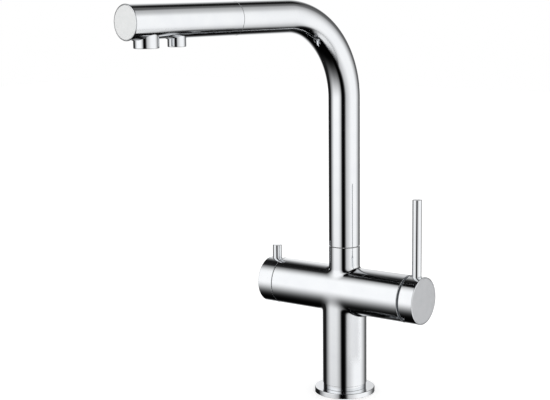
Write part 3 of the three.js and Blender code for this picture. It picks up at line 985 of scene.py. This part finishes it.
        holes = Skin()
        for angle in self.ports:
            turn = math.radians(angle)
            port = Vector((self.port_ring * math.cos(turn), self.port_ring * math.sin(turn), 0))
            way = rod(self.port, -PAST, BARREL_HEIGHT - self.port_below)
            holes.turn(way, Axis(port, Z, X), SMALL)
        stud = Axis(X * self.stud_offset, Z, X)
        holes.turn(rod(self.stud, -PAST, self.stud_depth), stud, SMALL)
        back = Axis(Z * (self.neck_top - self.screw_below), Y, Z)
        holes.turn(rod(*self.screw_hole, self.neck + PAST), back, SMALL)
        bored(casting, holes, self.finishes[Slot.BRASS])
        # The barrel's end at the mixer takes the darker, duller grey: painted shade in the groove.
        casting.data.materials.append(self.finishes.groove_shade)
        for face in casting.data.polygons:
            if face.center.x > (self.half - self.edge / 4) * MM:
                face.material_index = len(casting.data.materials) - 1
        placed(casting, Body.FIXED, Slot.CHROME, "tap_body")
        self.small_pieces(back)

    def small_pieces(self, back: Axis) -> None:
        """Makes the ring that the spout turns on, and the screw that keeps it in.

        Args:
            back: The screw's axis.
        """
        ring = collar(self.ring, self.throat, self.neck_top - self.ring_drop, self.neck_top + GAP)
        ring = Skin().turn(ring, UPRIGHT)
        self.finishes.piece(ring, "bearing_ring", Body.FIXED, Slot.ACETAL, "spout_bearing_ring")
        steel = self.finishes[Slot.STEEL]
        screw = Skin().turn(rod(self.screw, *self.screw_ends, self.screw_edge), back, SMALL)
        screw = screw.finished("spout_screw", steel)
        bored(screw, Skin().turn(rod(*self.key), back, HEXAGON), steel)
        placed(screw, Body.FIXED, Slot.STEEL, "spout_lock_screw")


# ---- Spout ----


class SweptTube(Generator):
    """A tube swept along a path with one rounded corner."""

    name = "swept_tube"
    sizes = {**dict.fromkeys(("Corner", "Radius", "Wall", "Step"), "Float"), "Around": "Int"}
    corner_steps = 180
    sharp = math.radians(50)  # rims that turn by more than this are bevelled

    def shape(self, given: bpy.types.NodeOutputs) -> Socket:
        """Sweeps a ring along the path, and doubles it inwards by the wall.

        Args:
            given: The sockets of the path and the sizes.

        Returns:
            The tube.
        """
        line = self.add("GeometryNodeMeshToCurve", {"Mesh": given["Geometry"]})
        corner = {"Curve": line, "Count": self.corner_steps, "Radius": given["Corner"]}
        bent = self.add("GeometryNodeFilletCurve", corner, mode="POLY")
        steps = {"Curve": bent, "Length": given["Step"]}
        even = self.add("GeometryNodeResampleCurve", steps, mode="LENGTH")
        ring = {"Resolution": given["Around"], "Radius": given["Radius"]}
        ring = self.add("GeometryNodeCurvePrimitiveCircle", ring)
        outside = self.add("GeometryNodeCurveToMesh", {"Curve": even, "Profile Curve": ring})
        inward = math_node(self.tree, "MULTIPLY", given["Wall"], -1.0)
        inside = {"Mesh": outside, "Offset Scale": inward, "Individual": False}
        inside = self.add("GeometryNodeExtrudeMesh", inside)
        both = self.joined([self.add("GeometryNodeFlipFaces", {"Mesh": inside}), outside])
        return self.add("GeometryNodeMergeByDistance", {"Geometry": both, "Distance": 10 * WELD})

    def sweep(
        self, name: str, path: Sequence[Vector], sizes: Sizes, finish: Material, edge: float = 0.0
    ) -> Object:
        """Sweeps one smooth tube.

        Args:
            name: The piece's name.
            path: The corners of the line that it follows.
            sizes: The tree's sizes.
            finish: Its material.
            edge: How much is taken off its rims.

        Returns:
            The object.
        """
        made = self.make(name, path, sizes, finish)
        made.data.polygons.foreach_set("use_smooth", [True] * len(made.data.polygons))
        if edge:
            bevel = made.modifiers.new("edge", "BEVEL")
            bevel.width, bevel.segments, bevel.limit_method = edge * MM, 2, "ANGLE"
            bevel.angle_limit = self.sharp
            bevel.harden_normals = True
            bake(made)
        return made


@dataclass
class Spout:
    """The round tube that rises from the neck, bends and runs level to its outlet head."""

    finishes: Finishes
    sweeps: SweptTube
    radius: float = 14.0
    wall: float = 1.5
    corner: float = 73.5
    foot: float = 136.0
    seam: float = 132.65
    edge: float = 0.25
    hose_radius: float = 4.0
    hose_wall: float = 1.0
    hose_ends: tuple[float, float] = (103.3, 187.9)  # height of its foot, and its reach
    fineness: tuple[float, int] = (2.0, 128)  # length of the tube's steps, and its faces round
    hose_fineness: tuple[float, int] = (4.0, 32)

    def build(self) -> None:
        """Makes the tube and dresses what it hides."""
        path = [Z * self.foot, Z * ARM_HEIGHT, Z * ARM_HEIGHT + ARM_WAY * self.seam]
        sizes = {"Corner": self.corner, "Radius": self.radius, "Wall": self.wall}
        sizes.update(zip(("Step", "Around"), self.fineness))
        tube = self.sweeps.sweep("tube", path, sizes, self.finishes[Slot.CHROME], self.edge)
        placed(tube, Body.SPOUT, Slot.CHROME, "spout_tube")
        foot, reach = self.hose_ends
        path = [Z * foot, Z * ARM_HEIGHT, Z * ARM_HEIGHT + ARM_WAY * reach]
        sizes.update({"Radius": self.hose_radius, "Wall": self.hose_wall})
        sizes.update(zip(("Step", "Around"), self.hose_fineness))
        hose = self.sweeps.sweep("filtered_tube", path, sizes, self.finishes[Slot.ACETAL])
        placed(hose, Body.SPOUT, Slot.ACETAL, "filtered_water_tube")
        self.finishes.dress(Slot.BRASS, "spout_swivel_sleeve", "arm_joint_sleeve")
        self.finishes.dress(
            Slot.RUBBER, "spout_oring_lower", "spout_oring_upper", "filtered_tube_oring"
        )


# ---- Outlet head ----


class PiercedPlate(Generator):
    """A round plate pierced by a honeycomb of small holes."""

    name = "pierced_plate"
    sizes = dict.fromkeys(("Radius", "Height", "Pitch", "Hole", "Reach"), "Float")
    sizes["Centre"] = "Vector"
    rows = 9  # holes each way, before those beyond the reach go

    def shape(self, given: bpy.types.NodeOutputs) -> Socket:
        """Lays two grids of points for a honeycomb, and cuts a pin at each out of a disc.

        Args:
            given: The sockets of the sizes.

        Returns:
            The plate.
        """
        tree, pitch = self.tree, given["Pitch"]
        width = math_node(tree, "MULTIPLY", pitch, float(self.rows - 1))
        height = math_node(tree, "MULTIPLY", width, math.sqrt(3))
        grid = {"Size X": width, "Size Y": height}
        grid.update({"Vertices X": self.rows, "Vertices Y": self.rows})
        grids = []
        for shift in (0.0, 0.5):
            points = self.add("GeometryNodeMeshGrid", grid)
            across = math_node(tree, "MULTIPLY", pitch, shift)
            along = math_node(tree, "MULTIPLY", pitch, shift * math.sqrt(3))
            offset = self.add("ShaderNodeCombineXYZ", {"X": across, "Y": along})
            moved = {"Geometry": points, "Translation": offset}
            grids.append(self.add("GeometryNodeTransform", moved))
        away = length_node(tree, self.add("GeometryNodeInputPosition"))
        ends = {0: away, 1: given["Reach"]}
        outside = self.add("FunctionNodeCompare", ends, operation="GREATER_THAN")
        inside = {"Geometry": self.joined(grids), "Selection": outside}
        inside = self.add("GeometryNodeDeleteGeometry", inside)
        depth = math_node(tree, "MULTIPLY", given["Height"], 2.0)
        pin = {"Vertices": HEXAGON, "Radius": given["Hole"], "Depth": depth}
        pin = self.add("GeometryNodeMeshCylinder", pin)
        pins = self.add("GeometryNodeInstanceOnPoints", {"Points": inside, "Instance": pin})
        real = self.add("GeometryNodeRealizeInstances", {"Geometry": pins})
        disc = {"Vertices": SMALL, "Radius": given["Radius"], "Depth": given["Height"]}
        disc = self.add("GeometryNodeMeshCylinder", disc)
        both = {"Mesh 1": disc, "Mesh 2": real}
        pierced = self.add("GeometryNodeMeshBoolean", both, operation="DIFFERENCE", solver="EXACT")
        centred = {"Geometry": pierced, "Translation": given["Centre"]}
        return self.add("GeometryNodeTransform", centred)


@dataclass(frozen=True)
class Outlet:
    """One outlet under the head: its name, size and distance from the head's end."""

    collar: str
    insert: str
    radius: float
    from_end: float
    pitch: float
    hole: float


@dataclass
class OutletHead:
    """The end of the arm, with its closing disc and its two outlets."""

    finishes: Finishes
    plates: PiercedPlate
    radius: float = 14.0
    bore: float = 12.5
    seam: float = 132.8
    reach: float = 243.0
    disc: float = 12.95
    outlet_foot: float = 321.8
    collar_top: float = 335.0
    edge: float = 0.8
    seam_edge: float = 0.35
    floor: float = 1.9  # from the face to the floor of the disc's recess
    plug: float = 6.0  # from the face to the disc's inner end
    hole_room: float = 1.3  # how far the outlets' holes run past their collars
    wall: float = 1.4
    foot_edges: tuple[float, float] = (0.3, 0.5)  # of a collar's foot, inside and outside
    recess: float = 0.8  # how far the inserts lie inside their collars
    insert: float = 8.0
    insert_inner: float = 1.4  # from a collar's bore to its insert's own
    insert_flat: float = 1.1  # from the bore to where the insert's foot turns inwards
    insert_edges: tuple[float, float] = (0.2, 0.3)
    screen_above: float = 0.5  # from the insert's foot to its screen
    screen_edge: float = 1.35  # from the bore to the screen's rim
    screen_rim: float = 1.6  # from the bore to where the holes end
    web: float = 3.0  # thickness of the screens
    main: Outlet = Outlet("aerator_collar", "aerator_insert", 10.0, 20.0, 1.9, 0.85)
    filtered: Outlet = Outlet("filter_nozzle_collar", "filter_nozzle_insert", 7.3, 50.5, 2.6, 0.9)

    def build(self) -> None:
        """Makes the head, its disc and its outlets."""
        floor, plug = self.reach - self.floor, self.bore - GAP
        end = lipped_end(self.radius, self.reach, self.edge, self.disc, floor)
        seam = [(self.bore, self.seam), (self.radius, self.seam, self.seam_edge)]
        corners = [*seam, *end, (self.bore, floor), (self.bore, self.seam)]
        head = Skin().turn(corners, ARM).finished("head", self.finishes[Slot.CHROME])
        holes = Skin()
        for outlet in (self.main, self.filtered):
            hole = rod(outlet.radius + GAP, self.outlet_foot, self.collar_top + self.hole_room)
            holes.turn(hole, self.axis(outlet), SMALL)
        bored(head, holes, self.finishes[Slot.CHROME])
        placed(head, Body.SPOUT, Slot.CHROME, "outlet_head")

        start = self.reach - self.plug
        back = [(0, start), (plug, start), (plug, self.reach - DISC_THICKNESS)]
        disc = Skin().turn([*back, *disc_front(self.disc, self.reach)], ARM)
        self.finishes.disc(disc, "head_disc", Body.SPOUT, "outlet")
        for outlet in (self.main, self.filtered):
            self.outlet(outlet)
        self.finishes.dress(Slot.RUBBER, "aerator_washer", "filter_nozzle_washer")
        self.finishes.dress(Slot.BRASS, "filter_nozzle_elbow")

    def axis(self, outlet: Outlet) -> Axis:
        """The upright axis of one outlet."""
        return Axis(ARM_WAY * (self.reach - outlet.from_end), Z, ARM_WAY)

    def outlet(self, outlet: Outlet) -> None:
        """Makes one outlet's collar and its pierced insert.

        Args:
            outlet: The outlet's sizes.
        """
        axis = self.axis(outlet)
        bore = outlet.radius - self.wall
        inside, outside = self.foot_edges
        rims = [(bore, self.outlet_foot, inside), (outlet.radius, self.outlet_foot, outside)]
        top = [(outlet.radius, self.collar_top), (bore, self.collar_top)]
        ring = Skin().turn([*rims, *top, rims[0]], axis)
        name = outlet.collar + "_ring"
        self.finishes.piece(ring, name, Body.SPOUT, Slot.CHROME, outlet.collar)

        foot, inner, outer = self.outlet_foot + self.recess, bore - self.insert_inner, bore - GAP
        top = foot + self.insert
        seat = (inner, foot + self.screen_above)
        inside, outside = self.insert_edges
        rims = [(bore - self.insert_flat, foot, inside), (outer, foot, outside)]
        rim = Skin().turn([seat, *rims, (outer, top), (inner, top), seat], axis, SMALL)
        name = outlet.insert + "_rim"
        self.finishes.piece(rim, name, Body.SPOUT, Slot.PLASTIC, outlet.insert)
        sizes = {
            "Centre": axis.origin + Z * (foot + self.screen_above + self.web / 2),
            "Radius": bore - self.screen_edge,
            "Height": self.web,
            "Pitch": outlet.pitch,
            "Hole": outlet.hole,
            "Reach": bore - self.screen_rim - outlet.hole,
        }
        plastic = self.finishes[Slot.PLASTIC]
        plate = self.plates.make(outlet.insert + "_screen", [], sizes, plastic)
        placed(plate, Body.SPOUT, Slot.PLASTIC)


# ---- Handles ----


@dataclass
class Handle:
    """One end of the barrel: the round cap, its screw and disc, and the upright pin lever."""

    finishes: Finishes
    side: Side
    lever_top: float
    rim: float
    stem: float
    radius: float = 21.0
    barrel_end: float = 67.0
    face: float = 82.5
    lever_place: float = 75.2
    lever: float = 4.2
    stem_end: float = 77.0
    edge: float = 0.6
    disc: float = 19.9
    web: float = 3.5  # from the barrel's end to where the cap is solid
    wall: float = 1.8
    back_edge: float = 0.35
    floor: float = 1.75  # from the face to the floor of the disc's recess
    screw_bore: float = 2.3
    head_bore: float = 3.9
    head_seat: float = 1.2  # from the stem's end to the screw's head
    pocket_depth: float = 7.4
    pocket_below: float = 2.5  # how far the pocket reaches under the axis
    boss: float = 2.0  # wall left round the stem
    lever_hole: float = 9.0  # from the axis to the foot of the lever's hole
    lever_seat: float = 9.3
    lever_edge: float = 0.5

    @property
    def prefix(self) -> str:
        """The start of the names of this handle's solids."""
        return "mixer" if self.side is Side.MIXER else "filter"

    @property
    def body(self) -> Body:
        """The body that this handle moves with."""
        return Body.MIXER if self.side is Side.MIXER else Body.FILTER

    @property
    def axis(self) -> Axis:
        """The axis that its cap is turned about."""
        return barrel_axis(self.side)

    @property
    def lever_axis(self) -> Axis:
        """The lever's axis, upwards from the barrel's."""
        return Axis(self.axis.point(0, self.lever_place, 0), Z, X)

    def cap(self) -> Object:
        """Turns the cap and bores it.

        Returns:
            The cap with its cavity, screw hole and lever hole.
        """
        start, web = self.barrel_end + self.rim, self.barrel_end + self.web
        floor, inner = self.face - self.floor, self.radius - self.wall
        inside = [(0, web), (inner, web), (inner, start), (self.radius, start, self.back_edge)]
        end = lipped_end(self.radius, self.face, self.edge, self.disc, floor)
        cap = Skin().turn([*inside, *end, (0, floor)], self.axis)
        cap = cap.finished(self.prefix + "_end_cap", self.finishes[Slot.CHROME])
        seat, head = self.stem_end + GAP, self.stem_end + self.head_seat
        stem = Skin().turn(rod(self.stem + GAP, web - PAST, seat), self.axis, SMALL)
        screw = Skin().turn(rod(self.screw_bore, self.stem_end, self.face), self.axis, SMALL)
        holes = Skin().turn(rod(self.head_bore, head, self.face), self.axis, SMALL)
        lever = rod(self.lever + GAP / 2, self.lever_hole, self.radius + PAST)
        holes.turn(lever, self.lever_axis, SMALL)
        for hole in (stem, screw, holes):
            bored(cap, hole, self.finishes[Slot.BRASS])
        return cap

    def pocket(self) -> Object:
        """Shapes the room in the mixer's cap that the barrel's rim needs when the handle tilts.

        Returns:
            The room, to be cut out of the cap.
        """
        chrome, floor = self.finishes[Slot.CHROME], BARREL_HEIGHT - self.pocket_below
        room = rod(self.radius - self.wall, self.barrel_end, self.barrel_end + self.pocket_depth)
        room = Skin().turn(room, self.axis).finished("pocket", chrome)
        low = Vector((0, -BLOCK_ACROSS, floor))
        high = Vector((BLOCK_ALONG, BLOCK_ACROSS, BARREL_HEIGHT + BLOCK_ACROSS))
        bored(room, Skin().block(low, high), chrome)
        boss = Skin().turn(rod(self.stem + self.boss, 0, self.face), self.axis, SMALL)
        return bored(room, boss, chrome)

    def build(self) -> None:
        """Makes the cap, disc and lever, and dresses the screw."""
        cap = self.cap()
        if self.side is Side.MIXER:
            cut(cap, self.pocket())
        placed(cap, self.body, Slot.CHROME, self.prefix + "_cap")
        disc = [(0, self.face - DISC_THICKNESS), *disc_front(self.disc, self.face)]
        disc = Skin().turn(disc, self.axis)
        self.finishes.disc(disc, self.prefix + "_disc", self.body, self.prefix)
        pin = rod(self.lever, self.lever_seat, self.lever_top - BARREL_HEIGHT, self.lever_edge)
        pin = Skin().turn(pin, self.lever_axis, SMALL)
        lever = self.prefix + "_lever"
        self.finishes.piece(pin, self.prefix + "_pin", self.body, Slot.CHROME, lever)
        self.finishes.dress(Slot.STEEL, self.prefix + "_cap_screw")


# ---- Cartridge and valve ----


@dataclass
class Cartridge:
    """The mixer's cartridge; what shows when the handle tilts is turned afresh."""

    finishes: Finishes
    nut: float = 17.1
    nut_bore: float = 13.9
    nut_ends: tuple[float, float] = (60.3, 66.0)
    nut_edge: float = 0.3
    slot_ends: tuple[float, float] = (64.0, 68.0)
    slots: tuple[tuple[float, float, float], ...] = (  # half the width, and the lowest and highest
        (2.0, 70.0, 120.0),
        (30.0, 93.0, 97.0),
    )
    trim: float = 18.9
    trim_bore: float = 17.4
    trim_ends: tuple[float, float] = (67.15, 68.45)
    trim_edge: float = 0.2

    def build(self) -> None:
        """Makes the nut and the trim ring, and dresses the rest."""
        axis, brass = barrel_axis(Side.MIXER), self.finishes[Slot.BRASS]
        nut = collar(self.nut, self.nut_bore, *self.nut_ends, self.nut_edge)
        nut = Skin().turn(nut, axis).finished("nut", brass)
        start, end = self.slot_ends
        for half, low, high in self.slots:
            slot = Skin().block(Vector((start, -half, low)), Vector((end, half, high)))
            bored(nut, slot, brass)
        placed(nut, Body.FIXED, Slot.BRASS, "cartridge_nut")

        trim = collar(self.trim, self.trim_bore, *self.trim_ends, self.trim_edge)
        trim = Skin().turn(trim, axis)
        self.finishes.piece(trim, "trim_ring", Body.FIXED, Slot.PLASTIC, "mixer_trim_ring")
        self.finishes.dress(Slot.RUBBER, "cartridge_seal")
        self.finishes.dress(Slot.PLASTIC, "cartridge_base", "cartridge_housing")
        self.finishes.dress(Slot.CERAMIC, "ceramic_disc_fixed", "ceramic_disc_moving")
        self.finishes.dress(Slot.ACETAL, "cartridge_rotor")
        self.finishes.dress(Slot.STEEL, "stem_pivot_pin", "mixer_stem")


@dataclass
class FilterValve:
    """The filtered water's quarter turn valve, all of it out of sight."""

    finishes: Finishes

    def build(self) -> None:
        """Dresses the valve's solids."""
        self.finishes.dress(Slot.RUBBER, "filter_valve_seal")
        self.finishes.dress(Slot.BRASS, "filter_valve_body", "filter_spindle")
        self.finishes.dress(Slot.CERAMIC, "filter_disc_fixed", "filter_disc_moving")


# ---- Studio ----


@dataclass(frozen=True)
class Panel:
    """A soft-edged part of the studio, by its direction from the tap.

    Azimuth 0 is towards -Y and 90 towards +X; the left and right edges are counted from the
    panel's own azimuth. The level is how bright the panel looks: 0 is black, 1 is white, and more
    is brighter still.
    """

    azimuth: float
    left: Edge
    right: Edge
    low: Edge
    high: Edge
    level: float

    def over(self, tree: Tree, azimuth: Socket, elevation: Socket, under: Value) -> Socket:
        """Lays the panel over what is behind it.

        Args:
            tree: The world's node tree.
            azimuth: The azimuth that is looked in.
            elevation: The elevation that is looked in.
            under: How bright the studio looks there without the panel.

        Returns:
            How bright it looks with it.
        """
        turned = math_node(tree, "SUBTRACT", azimuth, self.azimuth)
        away = math_node(tree, "WRAP", turned, 180.0, -180.0)
        cover = window(tree, (away, self.left, self.right), (elevation, self.low, self.high))
        return output(tree, "ShaderNodeMix", {0: cover, 2: under, 3: self.level})


def stage_sheet(
    name: str, corners: Sequence[tuple[float, float]], height: float, paper: Material, *unseen: str
) -> None:
    """Lays a flat sheet, as a part of the stage.

    Args:
        name: Its name.
        corners: Its corners, seen from above, in metres.
        height: How high it lies, in metres.
        paper: Its material.
        unseen: The kinds of ray that pass it by.
    """
    mesh = bpy.data.meshes.new(name)
    mesh.from_pydata([(*corner, height) for corner in corners], [], [(0, 1, 2, 3)])
    mesh.materials.append(paper)
    sheet = linked(name, mesh)
    for ray in unseen:
        setattr(sheet, "visible_" + ray, False)


@dataclass(frozen=True)
class Card:
    """A soft-edged white card on the table, which only the tap's metal shows.

    Its left and right sides are azimuths, its near and far ones distances from the tap.
    """

    left: Edge
    right: Edge
    near: Edge
    far: Edge
    shade: float

    def paper(self) -> Material:
        """Builds white paper that fades to nothing at the card's sides.

        Returns:
            The material.
        """
        made = bpy.data.materials.new("white_card")
        tree = bare_tree(made)
        places = output(tree, "ShaderNodeTexCoord", pick="Object")
        x, y, _ = add_node(tree, "ShaderNodeSeparateXYZ", {0: places}).outputs
        distance = math_node(tree, "DIVIDE", length_node(tree, places), MM)
        sides = (azimuth_node(tree, x, y), self.left, self.right)
        cover = window(tree, sides, (distance, self.near, self.far))
        paper = output(tree, "ShaderNodeBsdfDiffuse", {"Color": (*[self.shade] * 3, 1.0)})
        clear = output(tree, "ShaderNodeBsdfTransparent")
        mixed = output(tree, "ShaderNodeMixShader", {0: cover, 1: clear, 2: paper})
        add_node(tree, "ShaderNodeOutputMaterial", {0: mixed})
        return made

    def lay(self) -> None:
        """Lays the card on the table, to the right of the tap."""
        reach = (self.far[0] + self.far[1]) * MM
        corners = ((0, -reach), (reach, -reach), (reach, reach), (0, reach))
        stage_sheet("card", corners, GAP * MM, self.paper(), "camera", "diffuse", "shadow")


@dataclass
class Studio:
    """Camera, floor and light."""

    place: tuple[float, float, float] = (643.8, -976.9, 372.1)
    azimuth: float = 36.43
    pitch: float = 9.45
    roll: float = -0.62
    focal_pixels: float = 1320.6
    image_width: int = 550
    sensor: float = 36.0
    farthest: float = 20.0  # how far the camera sees, in metres
    half_floor: float = 3.0  # in metres
    glow: float = 0.3  # the floor's own light, which brings its paper up to white
    black: float = 0.045  # what lies between the panels
    display: float = 2.2  # from how bright the studio looks to how much light it gives
    panels: tuple[Panel, ...] = (  # each lies over those before it
        Panel(-30, (-44, 67), (50, 70), (-36, 68), (72, 73), 1.05),  # left softbox
        Panel(95, (-54, 23), (70, 25), (-44, 10), (51, 8), 0.75),  # right reflector
        Panel(95, (-32, 60), (45, 36), (-42, 32), (37, 29), 1.03),  # right softbox
        Panel(-144, (-15, 49), (19, 42), (-37, 27), (47, 68), 1.11),  # backdrop
        Panel(20, (-120, 8), (134, 11), (57, 4), (110, 11), 0.07),  # ceiling
        Panel(27, (-12, 14), (10, 16), (-88, 13), (62, 14), 0.04),  # gap in front
        Panel(-95, (-18, 6), (16, 10), (-42, 23), (56, 12), 0.14),  # gap on the left
        Panel(172, (-6, 52), (14, 31), (-46, 33), (63, 28), 0.55),  # gap on the right
        Panel(-171, (-9, 12), (12, 10), (36, 6), (50, 7), 0.12),  # gap above the backdrop
        Panel(178, (-13, 12), (14, 10), (-90, 10), (-41, 6), 0.03),  # gap below it
    )
    card: Card = Card((60, 48), (110, 24), (132, 60), (330, 160), 0.9)

    def camera(self) -> None:
        """Sets the camera as the photograph was taken, level with a slight roll."""
        turn, drop, roll = (math.radians(v) for v in (self.azimuth, self.pitch, self.roll))
        back = Vector(
            (math.sin(turn) * math.cos(drop), -math.cos(turn) * math.cos(drop), math.sin(drop))
        )
        level = Vector((math.cos(turn), math.sin(turn), 0))
        rise = back.cross(level)
        right = level * math.cos(roll) + rise * math.sin(roll)
        up = rise * math.cos(roll) - level * math.sin(roll)
        data = bpy.data.cameras.new("camera")
        data.sensor_width = self.sensor
        data.lens = self.focal_pixels / self.image_width * self.sensor
        data.clip_end = self.farthest
        made = bpy.data.objects.new("camera", data)
        bpy.context.scene.collection.objects.link(made)
        made.matrix_world = Matrix.Translation(Vector(self.place) * MM) @ Matrix(
            (right, up, back)
        ).transposed().to_4x4()
        bpy.context.scene.camera = made

    def world(self) -> None:
        """Lights the tap evenly, shows white behind it, and lets the metal mirror a studio."""
        world = bpy.data.worlds.new("studio")
        bpy.context.scene.world = world
        tree = bare_tree(world)
        way = output(tree, "ShaderNodeTexCoord", pick="Generated")
        x, y, z = add_node(tree, "ShaderNodeSeparateXYZ", {0: way}).outputs
        azimuth = azimuth_node(tree, x, y)
        elevation = math_node(tree, "DEGREES", math_node(tree, "ARCSINE", z))
        looks: Value = self.black
        for panel in self.panels:
            looks = panel.over(tree, azimuth, elevation, looks)
        light = math_node(tree, "POWER", looks, self.display)
        mirrored = output(tree, "ShaderNodeLightPath", pick="Is Glossy Ray")
        seen = output(tree, "ShaderNodeMix", {0: mirrored, 2: 1.0, 3: light})
        back = output(tree, "ShaderNodeBackground", {"Color": (1, 1, 1, 1), "Strength": seen})
        add_node(tree, "ShaderNodeOutputWorld", {0: back})

    def floor(self) -> None:
        """Lays a plain white floor that keeps the tap's soft shadow."""
        made = bpy.data.materials.new("white_paper_floor")
        made.use_nodes = True
        tree = made.node_tree
        seen = output(tree, "ShaderNodeLightPath", pick="Is Camera Ray")
        surface = {
            "Roughness": 0.9,
            "Emission Color": (1, 1, 1, 1),
            "Emission Strength": math_node(tree, "MULTIPLY", seen, self.glow),
            "Base Color": linear("#f4f4f4"),
        }
        feed(tree, tree.nodes["Principled BSDF"], surface)
        half = self.half_floor
        corners = ((-half, -half), (half, -half), (half, half), (-half, half))
        stage_sheet("floor", corners, 0, made, "glossy")

    def build(self) -> None:
        """Sets up the whole studio."""
        self.camera()
        self.world()
        self.floor()
        self.card.lay()
        bpy.context.scene.view_settings.view_transform = "Standard"


def main() -> None:
    """Builds the studio and the tap."""
    logging.basicConfig(level=logging.INFO, format="%(name)s: %(message)s", stream=sys.stdout)
    Studio().build()
    finishes = Finishes()
    Base(finishes).build()
    Casting(finishes).build()
    Spout(finishes, SweptTube()).build()
    OutletHead(finishes, PiercedPlate()).build()
    Handle(finishes, Side.MIXER, lever_top=184.0, rim=2.0, stem=3.6).build()
    Handle(finishes, Side.FILTER, lever_top=128.0, rim=GAP, stem=4.0).build()
    Cartridge(finishes).build()
    FilterValve(finishes).build()
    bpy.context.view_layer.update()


if __name__ == "__main__":
    main()
